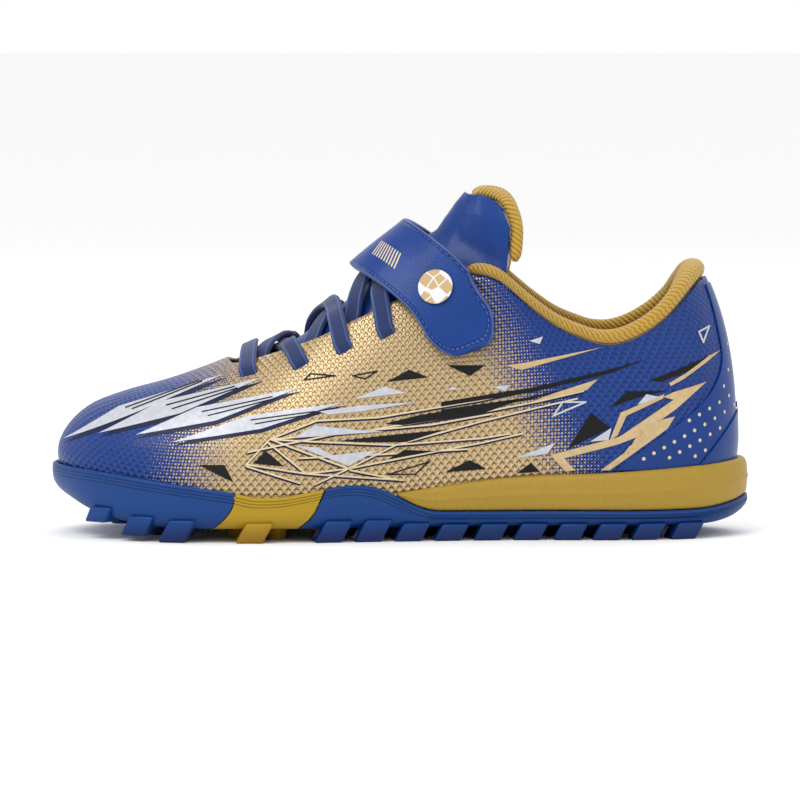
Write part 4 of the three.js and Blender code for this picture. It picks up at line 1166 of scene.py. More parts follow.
stations = steps(60, TONGUE_START, TONGUE_CREST) + steps(14, TONGUE_CREST, TONGUE_END)[1:]
bm = last_sheet(stations, tongue_low, tongue_high, 20, lift=-TONGUE_DEPTH)
bm.normal_update()
for v, out in [(v, v.normal.copy()) for v in bm.verts]:
    # Foam stands fuller between the seams and sinks a little at the fold and under the laces.
    d = fold_height(v.co)
    puff = 0.9 * smooth(d, 2, 12) * (1 - smooth(d, 14, 24)) - 0.7 * math.exp(-(d / 2.6) ** 2)
    v.co += out * (puff + 0.12 * math.sin(v.co.x * 1.3 + v.co.y * 0.7) * math.sin(v.co.y * 1.1))
tongue = mesh_object("tongue_cushion", bm)
tongue.data.materials.append(SMOOTH_BLUE)
tongue.data.materials.append(LINING_GOLD)
solid = thicken(tongue, TONGUE_THICK)
solid.material_offset = 1
solid.material_offset_rim = 0
soften(tongue, 1.3, segments=3)
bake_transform(tongue)
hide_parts("tongue_face", "tongue_foam", "tongue_lining", "tongue_top_face",
            "tongue_top_foam", "tongue_top_lining")

# %% Tongue rope
ROPE_RADIUS = 2.1


def tongue_edge():
    """(side, t, q) along the top's edge, from one wing over the crest to the other."""
    def wing(side):
        top = tongue_high(side, TONGUE_END)
        up = [(side, TONGUE_END, q) for q in steps(26, 0.3, top)]
        over = [(side, t, tongue_high(side, t)) for t in steps(24, TONGUE_END, TONGUE_CREST)[1:]]
        return [c for c in up + over if fold_height(above(*c, -TONGUE_DEPTH - 2.5)) > 0.6]
    return wing(-1) + wing(1)[::-1][1:]


edge = tongue_edge()
points = [above(*c, -TONGUE_DEPTH - TONGUE_THICK / 2) for c in edge]
for _ in range(6):
    eased = [(a + b * 2 + c) / 4 for a, b, c in zip(points, points[1:], points[2:])]
    points = [points[0], *eased, points[-1]]
rings = []
for i, (side, t, q) in enumerate(edge):
    along = (points[min(len(points) - 1, i + 1)] - points[max(0, i - 1)]).normalized()
    away = along.cross(skin_out(side, t, q)).normalized()
    face = along.cross(away).normalized()
    ends = min(i, len(edge) - 1 - i)
    r = ROPE_RADIUS * (0.4, 0.8, 0.95, 1)[min(3, ends)]
    centre = points[i] + away * (ROPE_RADIUS + 0.3)
    rings.append([centre + away * r * math.cos(a) + face * r * math.sin(a)
                  for a in (2 * math.pi * k / 14 for k in range(14))])
bm = bmesh.new()
add_tube(bm, rings, girth=13)
close_up(bm)
rope = mesh_object("tongue_rope", bm)
finish_piece(rope, RIBBED_GOLD, "gold_textile", "tongue_top", replaced=["tongue_binding"])

# %% [markdown]
# ## Elastic lace
# One flat knitted elastic runs through four slots on each side and is sewn down inside, so a child
# never ties it. It climbs the throat in crossings, with one straight bar at the front. It is a
# band swept along one path: out of a slot, over the throat and the tongue, under the far edge and
# round a hairpin into the next slot.

# %% Places on the last
def on_skin(side, x, z):
    """The station and height of the point of one side whose side view is at (x, z)."""
    t, q, step = station(x), 0.5, 1e-3
    for _ in range(24):
        p = skin(side, t, q)
        a = (skin(side, t + step, q) - p) / step
        b = (skin(side, t, q + step) - p) / step
        ex, ez = x - p.x, z - p.z
        det = a.x * b.z - b.x * a.z
        t = clamp(t + clamp((ex * b.z - b.x * ez) / det, -0.05, 0.05), 0.01, 0.99)
        q = clamp(q + clamp((a.x * ez - ex * a.z) / det, -0.1, 0.1), 0.02, 0.98)
    return t, q


def nearest_on_skin(point, t, q):
    """The skin's place nearest to a point, found by stepping from a place near it."""
    step = 1e-3
    for _ in range(6):
        p = skin(-1, t, q)
        a = (skin(-1, t + step, q) - skin(-1, t - step, q)) / (2 * step)
        b = (skin(-1, t, q + step) - skin(-1, t, q - step)) / (2 * step)
        gap = point - p
        aa, ab, bb, ag, bg = a.dot(a), a.dot(b), b.dot(b), a.dot(gap), b.dot(gap)
        det = aa * bb - ab * ab
        t += clamp((ag * bb - ab * bg) / det, -0.04, 0.04)
        q += clamp((aa * bg - ab * ag) / det, -0.08, 0.08)
    return t, q


def skin_along(side, t, q):
    step = 2e-3
    return (skin(side, t + step, q) - skin(side, t - step, q)).normalized()


# %% Lace path
LACE_WIDTH = 6
LACE_TOP = LACE_LIFT + LACE_THICK / 2
LACE_UNDER = -UPPER - LACE_TOP - GAP
HAIRPIN = (LACE_TOP - LACE_UNDER) / 2
SLOTS = [on_skin(-1, x, z) for x, z in EYELETS]


def crossing_depth(edge, high):
    mid = -UPPER / 2 if high else -TONGUE_DEPTH + LACE_LIFT + 0.1 + LACE_THICK / 2
    return curve([
        (0, LACE_TOP), (edge + 0.04, LACE_TOP), (edge + 0.16, mid + 0.15), (0.5, mid),
        (1 - edge - 0.1, mid - 0.2 if high else mid), (1 - edge, LACE_UNDER - 0.1), (1, LACE_UNDER)])


def lace_path():
    path = []

    def add(point, across):
        if path and across.dot(path[-1][1]) < 0:
            across = -across
        path.append((point, across))

    def turn(side, slot, down):
        along, out = skin_along(side, *slot), skin_out(side, *slot)
        inboard = (out.cross(along) * -side).normalized()
        centre = above(side, *slot, (LACE_TOP + LACE_UNDER) / 2)
        for degrees in steps(8, 90 if down else -90, -90 if down else 90):
            a = math.radians(degrees)
            add(centre + out * HAIRPIN * math.sin(a) - inboard * HAIRPIN * math.cos(a), along)

    def run(side, start, end, from_top, high, bar=False):
        (t0, q0), (t1, q1) = start, end
        edge = (rib_reaches(side, t0, throat_edge) - q0) / (2 - q0 - q1) + 0.02
        depth = (lambda f: [LACE_TOP]) if bar else crossing_depth(edge, high)
        for f in steps(24, 0.05, 0.95):
            t, q = t0 + (t1 - t0) * f, q0 + (2 - q0 - q1) * f
            lift = depth(f if from_top else 1 - f)[0]
            dt = 0.01 * (t1 - t0) / (2 - q0 - q1)
            ahead = skin(side, t + dt, q + 0.01) - skin(side, t, q)
            out = skin_out(*on_own_side(side, t, q))
            add(above(side, t, q, lift), out.cross(ahead).normalized())
    last = len(SLOTS) - 1

    def tail(side, forward):
        t, q = SLOTS[last]
        for dq in (0.06, 0.04, 0.02) if forward else (0.02, 0.04, 0.06):
            add(above(side, t, q + dq, LACE_UNDER), skin_along(side, t, q))
    tail(-1, True)
    turn(-1, SLOTS[last], False)
    for i in range(last, 0, -1):
        side = 1 if (last - i) % 2 else -1
        run(side, SLOTS[i], SLOTS[i - 1], True, False)
        turn(-side, SLOTS[i - 1], False)
    bar = 1 if last % 2 else -1
    run(bar, SLOTS[0], SLOTS[0], True, False, bar=True)
    turn(-bar, SLOTS[0], True)
    for i in range(last):
        side = bar if i % 2 else -bar
        run(side, SLOTS[i], SLOTS[i + 1], False, True)
        turn(-side, SLOTS[i + 1], True)
    tail(bar if last % 2 else -bar, False)
    return path


# %% Lace
def knitted_elastic():
    """Flat knit with a raised cord near each border. U runs along the band, V across it."""
    made, tree, shader = material("knitted_elastic", rgb(18, 42, 92), 0.8, sheen=0.25)
    place = put(tree, "SeparateXYZ", sheet_space(tree))
    u, v = place.outputs[0], place.outputs[1]
    across = sums(tree, "ABSOLUTE", v)
    cord = ramp(tree, sums(tree, "ABSOLUTE", sums(tree, "SUBTRACT", across, 2.15)), 0.12, 0.4, 1.0, 0.0)
    wales = sums(tree, "SINE", sums(tree, "MULTIPLY", v, 8.0))
    courses = sums(tree, "SINE", sums(tree, "ADD", sums(tree, "MULTIPLY", u, 8.5),
                                      sums(tree, "MULTIPLY", wales, 1.2)))
    stitch = sums(tree, "ADD", sums(tree, "MULTIPLY", sums(tree, "MULTIPLY", wales, courses), 0.5), 0.5)
    colour = mix(tree, stitch, rgb(8, 22, 54), rgb(22, 50, 108))
    tree.links.new(mix(tree, cord, colour, rgb(44, 78, 150)), shader.inputs["Base Color"])
    relief(tree, shader, sums(tree, "ADD", sums(tree, "MULTIPLY", stitch, 0.4), cord), 0.3)
    return made


def add_band(bm, path, width, thick):
    """A flat band with rounded borders along a path of (centre, across)."""
    corner = thick / 2
    flat = [width / 2 - corner * (1 - math.cos(math.radians(a))) for a in (90, 45, 0)]
    profile = [(-flat[0] + 2 * flat[0] * k / 5, corner) for k in range(6)]
    profile += [(flat[1], corner * 0.7), (flat[2], 0), (flat[1], -corner * 0.7)]
    profile += [(-a, -b) for a, b in profile[:6]]
    profile += [(-flat[1], -corner * 0.7), (-flat[2], 0), (-flat[1], corner * 0.7)]
    rings = []
    for i, (centre, across) in enumerate(path):
        tangent = (path[min(len(path) - 1, i + 1)][0] - path[max(0, i - 1)][0]).normalized()
        face = tangent.cross(across).normalized()
        wide = face.cross(tangent).normalized()
        rings.append([centre + wide * a + face * b for a, b in profile])
    along = running_lengths([centre for centre, _ in path])
    count = len(profile)
    add_grid(bm, len(rings) - 1, count, lambda i, j: rings[i][j % count],
             uv=lambda i, j: (along[i], profile[j % count][0]))
    bmesh.ops.remove_doubles(bm, verts=bm.verts, dist=1e-4)
    return along[-1]


bm = bmesh.new()
lace_length = add_band(bm, lace_path(), LACE_WIDTH, LACE_THICK)
close_up(bm)
lace = mesh_object("lace_band", bm)
finish_piece(lace, knitted_elastic(), "lace_knit", replaced=["elastic_lace"])
print("lace length", round(lace_length, 1), "mm")

# %% [markdown]
# ## Strap
# The strap is sewn down on the inner side, crosses over the laces and closes with hook and loop
# low on the outer side. It is two leather faces over a thin foam, stitched near the edge. It is
# made as two bands along one line over the last; they meet where both follow the flap.

# %% Strap line
STRAP_WIDTH, STRAP_THICK, TIP_CORNER = 23.5, 2.4, 8
TIP = on_skin(-1, 23.5, 61.4)
RIDGE_X = -4.9
low, high = station(-30), station(20)
for _ in range(24):
    ridge = (low + high) / 2
    low, high = (ridge, high) if skin(-1, ridge, 1).x < RIDGE_X else (low, ridge)
strap_line = curve([(0, TIP[0], 2 - TIP[1]), (0.5, ridge, 1), (1, TIP[0], TIP[1])])
STRAP_LENGTH = running_lengths([skin(-1, *strap_line(f)) for f in steps(40)])[-1]
FLAP_HINGE, TIP_HINGE, STRAP_MEET = 0.2, 0.71, 0.45
TIP_LIFT = SEAT + LOOP_THICK + HOOK_THICK + 2 * GAP
OVER_LACE = LACE_LIFT + LACE_THICK + GAP
strap_lift = curve([(0, SEAT), (0.1, SEAT), (0.27, OVER_LACE), (0.5, OVER_LACE), (0.7, OVER_LACE),
                    (0.78, TIP_LIFT), (1, TIP_LIFT)])


def strap_frame(f):
    """Place, tangent and across direction at a share of the strap's line."""
    t, q = strap_line(f)
    centre = skin(-1, t, q)
    tangent = (skin(-1, *strap_line(f + 0.004)) - skin(-1, *strap_line(f - 0.004))).normalized()
    return t, q, centre, tangent, tangent.cross(skin_out(*on_own_side(-1, t, q))).normalized()


def strap_half(s):
    """Half the width at a distance along the strap, drawn in round the corners of the tip."""
    into = clamp(s - (STRAP_LENGTH - TIP_CORNER), 0, TIP_CORNER * 0.995)
    return STRAP_WIDTH / 2 - TIP_CORNER + math.sqrt(TIP_CORNER ** 2 - into ** 2)


def border_distance(s, w):
    """How far a place on the strap is from its border."""
    corner_s, corner_w = s - (STRAP_LENGTH - TIP_CORNER), abs(w) - (STRAP_WIDTH / 2 - TIP_CORNER)
    if corner_s > 0 and corner_w > 0:
        return TIP_CORNER - math.hypot(corner_s, corner_w)
    return min(STRAP_WIDTH / 2 - abs(w), STRAP_LENGTH - s, s)


def band_section(half, thick, columns, corner=0.6):
    """The strap's section as (across, down, face): its top, a rounded edge, its back, an edge."""
    corner = min(corner, thick * 0.45)
    flat = half - corner
    top = [flat * math.sin(math.pi / 2 * (2 * k / columns - 1)) for k in range(columns + 1)]
    turn = [math.radians(a) for a in (35, 70)]
    edge = [(flat + corner * math.sin(a), corner * (1 - math.cos(a))) for a in turn]
    edge += [(half, corner), (half, thick - corner)] + [(w, thick - d) for w, d in edge[::-1]]
    return ([(w, 0, 0) for w in top] + [(w, d, 2) for w, d in edge]
            + [(w, thick, 1) for w in top[::-1]] + [(-w, d, 2) for w, d in edge[::-1]])


def strap_band(start, end, top_lift, thick, rows, columns=14, width=None, round_start=False,
               round_end=False):
    """A closed band along the strap's line, with its border distance and a material per face."""
    bm = bmesh.new()
    soft = 0.6
    spots = [(s, 0.0) for s in steps(rows, start * STRAP_LENGTH, end * STRAP_LENGTH)]
    turns = [math.radians(a) for a in (25, 50, 75)]
    if round_end:
        last = end * STRAP_LENGTH
        corner = [last - TIP_CORNER * (1 - math.sin(a)) for a in
                  (math.radians(d) for d in range(6, 80, 6))]
        spots = [(s, 0.0) for s, _ in spots if s < last - TIP_CORNER] + [(s, 0.0) for s in corner]
        spots += [(last - soft * (1 - math.sin(a)), soft * (1 - math.cos(a))) for a in turns]
    if round_start:
        first = start * STRAP_LENGTH
        spots = [(first + soft * (1 - math.sin(a)), soft * (1 - math.cos(a)))
                 for a in turns[::-1]] + [x for x in spots if x[0] > first + soft]
    rings, places = [], []
    for s, drawn_in in spots:
        f = s / STRAP_LENGTH
        t, q, centre, _, across = strap_frame(f)
        half = width / 2 if width else strap_half(s)
        section = band_section(half, thick, columns)
        found = {}
        for w in sorted({round(abs(w), 4) * sign for w, _, _ in section for sign in (-1, 1)}):
            tt, qq = nearest_on_skin(centre + across * w, t, q)
            place = on_own_side(-1, tt, qq)
            found[w] = (skin(*place), skin_out(*place))
        ring = []
        for w, down, _ in section:
            base, out = found[math.copysign(round(abs(w), 4), w)]
            down = clamp(down, drawn_in, thick - drawn_in)
            ring.append(base + out * (top_lift(f) - down))
        rings.append(ring)
        places.append([(s, w) for w, _, _ in section])
    kinds = [kind for _, _, kind in section]
    count = len(kinds)
    faces = add_grid(bm, len(rings) - 1, count, lambda i, j: rings[i][j % count],
                     uv=lambda i, j: (places[i][0][0], j))
    layer = bm.verts.layers.float.new("border")
    uv = bm.loops.layers.uv["UVMap"]
    for f in faces:
        columns_of = [round(loop[uv].uv[1]) for loop in f.loops]
        pair = {kinds[c % count] for c in columns_of}
        f.material_index = 2 if 2 in pair else max(pair)
        for loop, c in zip(f.loops, columns_of):
            w = places[0][c % count][1] / places[0][columns][1]
            s = loop[uv].uv[0]
            w *= (width / 2 if width else strap_half(s)) - 0.6
            loop[uv].uv = (s, w)
            loop.vert[layer] = border_distance(s, w)
    bmesh.ops.remove_doubles(bm, verts=bm.verts, dist=1e-4)
    close_up(bm)
    return bm


# %% Strap materials
HATCH = {"from": 62.0, "to": 75.0, "middle": 2.0, "half": 2.8, "pitch": 1.35}


def strap_leather():
    """Grained leather with a line of stitches inside the border, and a hatched print."""
    made = grained_leather("strap_leather", rgb(6, 56, 126))
    tree, shader = made.node_tree, made.node_tree.nodes["Principled BSDF"]
    plain = shader.inputs["Base Color"].links[0].from_socket
    place = put(tree, "SeparateXYZ", sheet_space(tree))
    s, w = place.outputs[0], place.outputs[1]
    border = put(tree, "Attribute", attribute_name="border").outputs["Fac"]
    from_line = sums(tree, "ABSOLUTE", sums(tree, "SUBTRACT", border, 1.35))
    run = sums(tree, "DIVIDE", sums(tree, "SUBTRACT", s, sums(tree, "ABSOLUTE", w)), 1.75)
    dash = sums(tree, "ABSOLUTE", sums(tree, "SUBTRACT", sums(tree, "FRACT", run), 0.5))
    thread = sums(tree, "MULTIPLY", ramp(tree, from_line, 0.16, 0.3, 1.0, 0.0),
                  ramp(tree, dash, 0.3, 0.38, 1.0, 0.0))
    groove = ramp(tree, from_line, 0.2, 0.55, 1.0, 0.0)
    slant = sums(tree, "SUBTRACT", s, sums(tree, "MULTIPLY", w, 0.35))
    bar = sums(tree, "LESS_THAN", sums(tree, "FRACT", sums(tree, "DIVIDE", slant, HATCH["pitch"])), 0.45)
    off_middle = sums(tree, "ABSOLUTE", sums(tree, "SUBTRACT", w, HATCH["middle"]))
    begun = sums(tree, "GREATER_THAN", slant, HATCH["from"])
    not_over = sums(tree, "LESS_THAN", slant, HATCH["to"])
    inside = sums(tree, "MULTIPLY", sums(tree, "MULTIPLY", begun, not_over),
                  sums(tree, "LESS_THAN", off_middle, HATCH["half"]))
    printed = sums(tree, "MULTIPLY", bar, inside)
    # Painted shade: the groove along the stitch line is darkened towards deep blue.
    shaded = mix(tree, sums(tree, "MULTIPLY", groove, 0.55), plain, rgb(8, 20, 58))
    threaded = mix(tree, thread, shaded, rgb(46, 82, 158))
    tree.links.new(mix(tree, printed, threaded, rgb(206, 186, 150)), shader.inputs["Base Color"])
    bump = next(n for n in tree.nodes if n.bl_idname == "ShaderNodeBump")
    seam = tree.nodes.new("ShaderNodeBump")
    seam.inputs["Distance"].default_value = 0.35 * MM
    tree.links.new(sums(tree, "SUBTRACT", thread, groove), seam.inputs["Height"])
    tree.links.new(bump.outputs["Normal"], seam.inputs["Normal"])
    tree.links.new(seam.outputs["Normal"], shader.inputs["Normal"])
    return made


STRAP_LEATHER = strap_leather()
# The strap's edges take a lighter blue as a painted highlight, where they catch the light.
EDGE_HIGHLIGHT = grained_leather("strap_edge", rgb(70, 88, 140), 0.5)
BACKING = flecked("strap_backing", rgb(22, 24, 34), 0.9, 800)


# %% Strap pieces
def strap_part(name, start, end, rows, bodies, hinge_at, replaced, **ends):
    bm = strap_band(start, end, lambda f: strap_lift(f)[0] + STRAP_THICK, STRAP_THICK, rows, **ends)
    piece = mesh_object(name, bm)
    for made in (STRAP_LEATHER, BACKING, EDGE_HIGHLIGHT):
        piece.data.materials.append(made)
    tangent = strap_frame(hinge_at)[3]
    middle = above(-1, *strap_line(hinge_at), strap_lift(hinge_at)[0] + STRAP_THICK / 2)
    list(fold_points(middle, tangent, 4, 4))
    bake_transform(piece)
    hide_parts(*replaced)
    return piece


strap_part("strap_inner_part", 0, STRAP_MEET, 50, ("root", "strap_flap"), FLAP_HINGE, ["strap_anchor"],
           round_start=True)
strap_part("strap_outer_part", STRAP_MEET, 1, 60, ("strap_flap", "strap_tip"), TIP_HINGE,
           ["strap_flap", "strap_tip"], round_end=True)
print("strap length", round(STRAP_LENGTH, 1), "mm")


# %% Hook and loop
def pile(name, colour, pitch, depth):
    """Hooks or loops as a close field of small knobs, from the UV map."""
    made, tree, shader = material(name, colour, 0.9, sheen=0.2)
    place = put(tree, "VectorMath", sheet_space(tree), (1 / pitch,) * 3,
                operation="MULTIPLY")
    knobs = put(tree, "TexVoronoi", place.outputs[0])
    knobs.inputs["Scale"].default_value = 1
    knobs.inputs["Randomness"].default_value = 0.3
    height = ramp(tree, knobs.outputs["Distance"], 0.1, 0.5, 1.0, 0.0)
    tree.links.new(mix(tree, height, tuple(c * 0.3 for c in colour[:3]) + (1,), colour),
                   shader.inputs["Base Color"])
    relief(tree, shader, height, depth)
    return made


PATCH_WIDTH, PATCH_START, PATCH_END = 19, 0.79, 0.965
LOOP_PILE = pile("loop_pile", rgb(34, 36, 46), 0.7, 0.3)
HOOK_PILE = pile("hook_pile", rgb(20, 22, 30), 1.1, 0.5)
for name, low, thick, body, made, node in (
        ("loop_field", SEAT, LOOP_THICK, "root", LOOP_PILE, "loop_patch"),
        ("hook_field", TIP_LIFT - HOOK_THICK - GAP, HOOK_THICK, "strap_tip", HOOK_PILE, "hook_patch")):
    bm = strap_band(PATCH_START, PATCH_END, lambda f: low + thick, thick, 24, width=PATCH_WIDTH)
    field = mesh_object(name, bm)
    field.data.polygons.foreach_set("material_index", [0] * len(field.data.polygons))
    finish_piece(field, made, "fastener_tape", body, replaced=[node])

# %% Badge
def badge_film():
    """A round badge: champagne patches in white, made by a cell pattern on its UV map."""
    made, tree, shader = material("badge_film", rgb(214, 214, 218), 0.4, specular=0.3)
    place = sheet_space(tree)
    cells = put(tree, "TexVoronoi", place)
    edges = put(tree, "TexVoronoi", place, feature="DISTANCE_TO_EDGE")
    for texture in (cells, edges):
        texture.inputs["Scale"].default_value = 0.27
        texture.inputs["Randomness"].default_value = 0.45
    split = put(tree, "SeparateXYZ", cells.outputs["Color"])
    patch = ramp(tree, edges.outputs["Distance"], 0.04, 0.07)
    chosen = sums(tree, "MULTIPLY", patch, sums(tree, "GREATER_THAN", split.outputs[0], 0.22))
    tree.links.new(mix(tree, chosen, rgb(214, 214, 218), rgb(186, 156, 112)), shader.inputs["Base Color"])
    return made


BADGE_RADIUS, BADGE_THICK, BADGE_AT = 5.8, 0.7, 0.845
t, q = strap_line(BADGE_AT)
along, out = skin_along(-1, t, q), skin_out(-1, t, q)
middle = above(-1, t, q, TIP_LIFT + STRAP_THICK + 2 * GAP)
aside = along.cross(out)
bm = bmesh.new()
bmesh.ops.create_circle(bm, cap_ends=True, segments=64, radius=BADGE_RADIUS)
layer = bm.loops.layers.uv.new("UVMap")
for f in bm.faces:
    for loop in f.loops:
        loop[layer].uv = (loop.vert.co.x + 9, loop.vert.co.y + 4)
rim = bmesh.ops.extrude_face_region(bm, geom=list(bm.faces), use_keep_orig=True)
for v in [g for g in rim["geom"] if isinstance(g, bmesh.types.BMVert)]:
    v.co.z += BADGE_THICK
for v in bm.verts:
    v.co = middle + along * v.co.x + aside * -v.co.y + out * v.co.z
bmesh.ops.recalc_face_normals(bm, faces=bm.faces)
badge = mesh_object("round_badge", bm, smooth_faces=False)
soften(badge, 0.2)
finish_piece(badge, badge_film(), "badge_film", "strap_tip", replaced=["strap_badge"])

# %% [markdown]
# ## Prints
# The graphics are thin films pressed on the moulded sheet: tapered streaks over the toes, a fan of
# fine lines, scattered shards and a jagged bolt at the heel. Each shape is drawn flat in the side
# view, cut into small triangles and laid on the upper, a tenth of a millimetre above it, on both
# sides of the shoe. A film keeps crisp borders, which a painted mask would not.

# %% Film helpers
def flat_shape(bm, outline_points):
    bm.faces.new([bm.verts.new((x, 0, z)) for x, z in outline_points])


def flat_line(bm, points, width):
    for (ax, az), (bx, bz) in zip(points, points[1:]):
        length = math.hypot(bx - ax, bz - az)
        ux, uz = (bx - ax) / length * width / 2, (bz - az) / length * width / 2
        flat_shape(bm, [(ax - ux - uz, az - uz + ux), (bx + ux - uz, bz + uz + ux),
                        (bx + ux + uz, bz + uz - ux), (ax - ux + uz, az - uz - ux)])


def seen_on_upper(x, z, side):
    """The upper's nearest point and outward normal at (x, z), seen straight from one side."""
    hit, normal = UPPER_TREE.ray_cast(Vector((x, side * 90, z)), Vector((0, -side, 0)))[:2]
    if hit and normal.y * side < 0:
        normal = -normal
    return hit, normal


def lay_on_upper(bm, lift, side):
    """Drapes flat shapes on one side of the upper, seen straight from that side."""
    bmesh.ops.triangulate(bm, faces=bm.faces, ngon_method="EAR_CLIP")
    for _ in range(6):
        long_edges = [e for e in bm.edges if e.calc_length() > 2.2]
        if not long_edges:
            break
        bmesh.ops.subdivide_edges(bm, edges=long_edges, cuts=1)
        bmesh.ops.triangulate(bm, faces=[f for f in bm.faces if len(f.verts) > 3])
    for v in bm.verts:
        hit, normal = seen_on_upper(v.co.x, v.co.z, side)
        if hit is None:
            hit, normal = UPPER_TREE.find_nearest(Vector((v.co.x, side * 20, v.co.z)))[:2]
            normal = normal if normal.y * side > 0 else -normal
        v.co = hit + normal * lift
    bm.normal_update()
    wrong = [f for f in bm.faces if f.normal.y * side < 0]
    bmesh.ops.reverse_faces(bm, faces=wrong)


def film(name, shapes, lines, made, lift):
    """shapes are outlines, and lines are (points, width), as (x, z) in the side view."""
    whole = bmesh.new()
    for side in (-1, 1):
        bm = bmesh.new()
        for shape in shapes:
            flat_shape(bm, shape)
        for points, width in lines:
            flat_line(bm, points, width)
        lay_on_upper(bm, lift, side)
        part = bpy.data.meshes.new("part")
        bm.to_mesh(part)
        bm.free()
        whole.from_mesh(part)
        bpy.data.meshes.remove(part)
    piece = mesh_object(name, whole)
    return finish_piece(piece, made, "upper_leather")


def film_material(name, colour, rough=0.4, metallic=0.0):
    """A foil print: nearly flat colour, with the sheet's dimples showing faintly through it."""
    made, tree, shader = material(name, colour, rough, metallic, specular=0.25)
    place = own_space(tree)
    dents = put(tree, "TexVoronoi", place)
    dents.inputs["Scale"].default_value = 480
    tree.links.new(mix(tree, ramp(tree, dents.outputs["Distance"], 0.2, 0.7), colour, tuple(
        c * 0.9 for c in colour[:3]) + (1,)), shader.inputs["Base Color"])
    relief(tree, shader, dents.outputs["Distance"], 0.06)
    return made


# %% Prints
STREAKS = [
    [(-112, 31.5), (-93, 43), (-57.5, 54), (-85.5, 42)],
    [(-99.5, 34.5), (-79, 45), (-45.5, 53), (-72.5, 41.5)],
    [(-87, 34.5), (-67, 43.5), (-33, 50), (-60.5, 39.5)],
    [(-75, 32.5), (-50.5, 41), (-18.5, 45.5), (-45.5, 37)]]
SHARDS_BLACK = [
    [(-5, 38.5), (5, 41), (26.5, 44.5), (42, 47), (26.5, 41.5), (11, 39.5), (1, 38)],
    [(-20.5, 33), (-7, 34.5), (15, 36.5), (2, 32.5), (-7, 32.5)],
    [(-44, 30), (-38, 25), (-48, 26)], [(-66, 25.5), (-57.5, 25.5), (-54.5, 20), (-60, 22.5)],
    [(1.5, 30), (11.5, 29.5), (-4, 27)], [(-4.5, 52), (3, 56), (9.5, 53.5)],
    [(14.5, 22.5), (23, 26.5), (28.5, 23.5)], [(15.5, 57.5), (28, 57.5), (23, 54)],
    [(13.5, 45.5), (45, 50.5), (70, 56.5), (81, 59.5), (69, 55), (45, 49), (13.5, 44)],
    [(13.5, 43), (42, 47), (57.5, 50.5), (42, 46), (13.5, 41.5)],
    [(55, 30), (63, 42), (69, 37)], [(38.5, 22), (43, 25.5), (46, 22.5)],
    [(82, 52.5), (89, 55), (106, 61.5), (95.5, 55.5), (86, 52)],
    [(68.5, 43.5), (75, 49), (88, 49), (76.5, 46.5)]]
SHARDS_WHITE = [
    [(-34, 31.5), (-27, 31), (-22, 28.5), (-7, 30), (-17, 25)],
    [(-35, 34), (-28, 38), (-13, 36.5), (-5, 36), (-28, 34.5)],
    [(-15.5, 46.5), (-5, 50.5), (2, 48.5)],
    [(-26.5, 42.5), (-13, 44.5), (6, 45.5), (-13, 42.5), (-23.5, 41.5)],
    [(42.5, 65.5), (47, 67), (46, 64.5)], [(30.5, 50.5), (36, 51), (34.5, 49)],
    [(15.5, 49.5), (17, 50.5), (19.5, 49.5)], [(62.5, 32.5), (69.5, 37), (68.5, 33)],
    [(37.5, 27), (51, 32), (48.5, 28.5)], [(78, 44.5), (81, 48), (85.5, 47)]]
BOLT_GOLD = [
    [(34.5, 57.5), (42, 58.5), (66.5, 63.5), (40, 56)],
    [(38, 43.5), (51, 48.5), (65, 53), (61.5, 49.5), (43.5, 45.5)],
    [(49.5, 28), (70, 33.5), (83.5, 37.5), (83.5, 36), (71.5, 31.5), (54, 27), (57.5, 23), (54.5, 22.5)],
    [(90.5, 40.5), (88, 36.5), (69, 23), (66, 23), (82, 35), (84.5, 37), (79.5, 36), (81.5, 38.5)],
    [(69, 33), (72.5, 42), (87, 48), (86.5, 46.5), (74.5, 41), (71.5, 34.5)],
    [(101, 51.5), (90, 48.5), (86.5, 47), (90, 46), (79.5, 39), (72, 34), (83, 37.5), (91, 43)],
    [(106, 61.5), (100.5, 57.5), (93, 52.5), (89, 50.5), (88.5, 51.5), (94, 54.5), (102, 60)]]
FAN = [
    [(-50.5, 25), (-43, 33), (-27.5, 39), (-7, 40), (26.5, 45.5), (45, 49.5), (64, 54)],
    [(-43, 33), (-2, 31), (26.5, 33), (36, 34.5)], [(-42.5, 33), (-17, 23.5)],
    [(-43.5, 32), (-31, 22), (-17, 23.5), (26.5, 31.5), (40, 34.5)], [(-50.5, 24.5), (-33, 19)],
    [(-28, 18.5), (-17, 23.5), (-1.5, 31), (26.5, 38.5), (45, 43), (58, 46)],
    [(-16.5, 23), (0, 19.5)], [(-50, 25), (-31, 22), (1, 19.5)],
    [(-43, 33), (-13, 35.5), (26.5, 41.5), (45, 45), (60, 48.5)],
    [(-50, 29), (-20, 35), (10, 37.5), (30, 41)], [(-33, 27), (-6, 28), (22, 29.5)]]
TRIANGLES = [
    [(-31.5, 52.5), (-29.5, 54.5), (-21.5, 54), (-31.5, 52.5)],
    [(-4, 22), (9.5, 26), (5, 22), (-4, 22)], [(-15.5, 54), (-7.5, 55.5), (-11.5, 53), (-15.5, 54)]]
TRIANGLES_WHITE = [
    [(50.5, 41), (53.5, 45.5), (61, 45.5), (50.5, 41)],
    [(98.5, 68), (102, 69.5), (100, 64.5), (98.5, 68)]]


def moved(points, dx, dz):
    return [(x + dx, z + dz) for x, z in points]


def inset_lines(streak):
    """Two fine lines that run inside a streak, from its front to its long tip."""
    a, b, c, d = streak
    return [[(b[0] + k * (d[0] - b[0]), b[1] + k * (d[1] - b[1])),
             (c[0] - 10 + k * (d[0] - b[0]) * 0.45, c[1] - 2.4 + k * (d[1] - b[1]) * 0.45)]
            for k in (0.32, 0.62)]


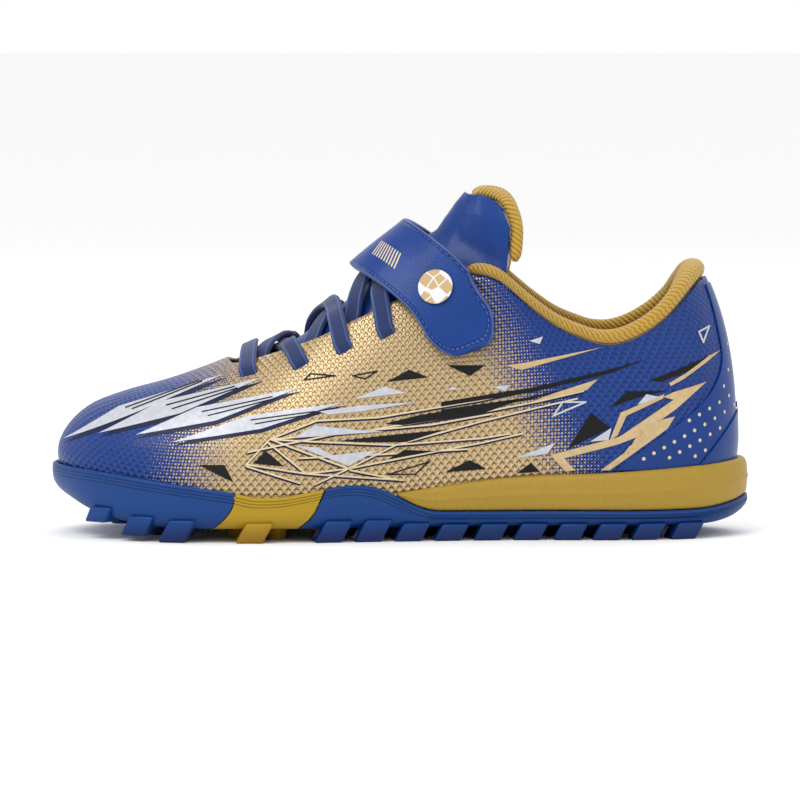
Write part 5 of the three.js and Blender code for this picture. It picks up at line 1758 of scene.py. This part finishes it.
BLACK_FILM = film_material("black_film", rgb(6, 8, 12), 0.5)
WHITE_FILM = film_material("white_film", rgb(188, 190, 198), 0.35, 0.15)
GOLD_FILM = film_material("gold_film", rgb(196, 170, 128), 0.35, 0.35)
PALE_FILM = film_material("pale_film", rgb(214, 196, 160), 0.35, 0.1)
NAVY_FILM = film_material("navy_film", rgb(6, 18, 58))
film("streak_borders", [moved(streak, 0.6, -1.1) for streak in STREAKS],
     [(line, 0.5) for line in FAN], NAVY_FILM, 0.10)
film("streaks", STREAKS, [], WHITE_FILM, 0.16)
film("streak_lines", [], [(line, 0.4) for streak in STREAKS for line in inset_lines(streak)],
     BLACK_FILM, 0.22)
film("fan_lights", [], [(moved(line, 0.2, 0.6), 0.5) for line in FAN], PALE_FILM, 0.13)
film("black_shards", SHARDS_BLACK, [(line, 0.45) for line in TRIANGLES], BLACK_FILM, 0.19)
film("bolt", BOLT_GOLD, [], GOLD_FILM, 0.22)
film("white_shards", SHARDS_WHITE, [(line, 0.6) for line in TRIANGLES_WHITE], WHITE_FILM, 0.25)

# %% Dots on the heel
DOT_PITCH, DOT_RADIUS, DOT_TURN = 3.8, 0.62, math.radians(28)
dots = bmesh.new()
count = 0
for side in (-1, 1):
    for i in range(-14, 15):
        for k in range(-14, 15):
            x = 100 + DOT_PITCH * (i * math.cos(DOT_TURN) - k * math.sin(DOT_TURN))
            z = 46 + DOT_PITCH * (i * math.sin(DOT_TURN) + k * math.cos(DOT_TURN))
            if not 25.5 < z < 68 or x < OVERLAY_FRONT(z)[0] + 1.6:
                continue
            if z < 44 and x > CAP_FRONT(z)[0] - 1.6:
                continue
            hit, normal = seen_on_upper(x, z, side)
            if hit is None or abs(normal.y) < 0.25:
                continue
            turn = normal.to_track_quat("Z", "Y").to_matrix().to_4x4()
            bmesh.ops.create_circle(dots, cap_ends=True, segments=12, radius=DOT_RADIUS,
                                    matrix=Matrix.Translation(hit + normal * 0.62) @ turn)
            count += 1
dots_piece = mesh_object("heel_dots", dots, smooth_faces=False)
finish_piece(dots_piece, film_material("cream_film", rgb(206, 190, 160)), "smooth_leather")
print("dots", count)
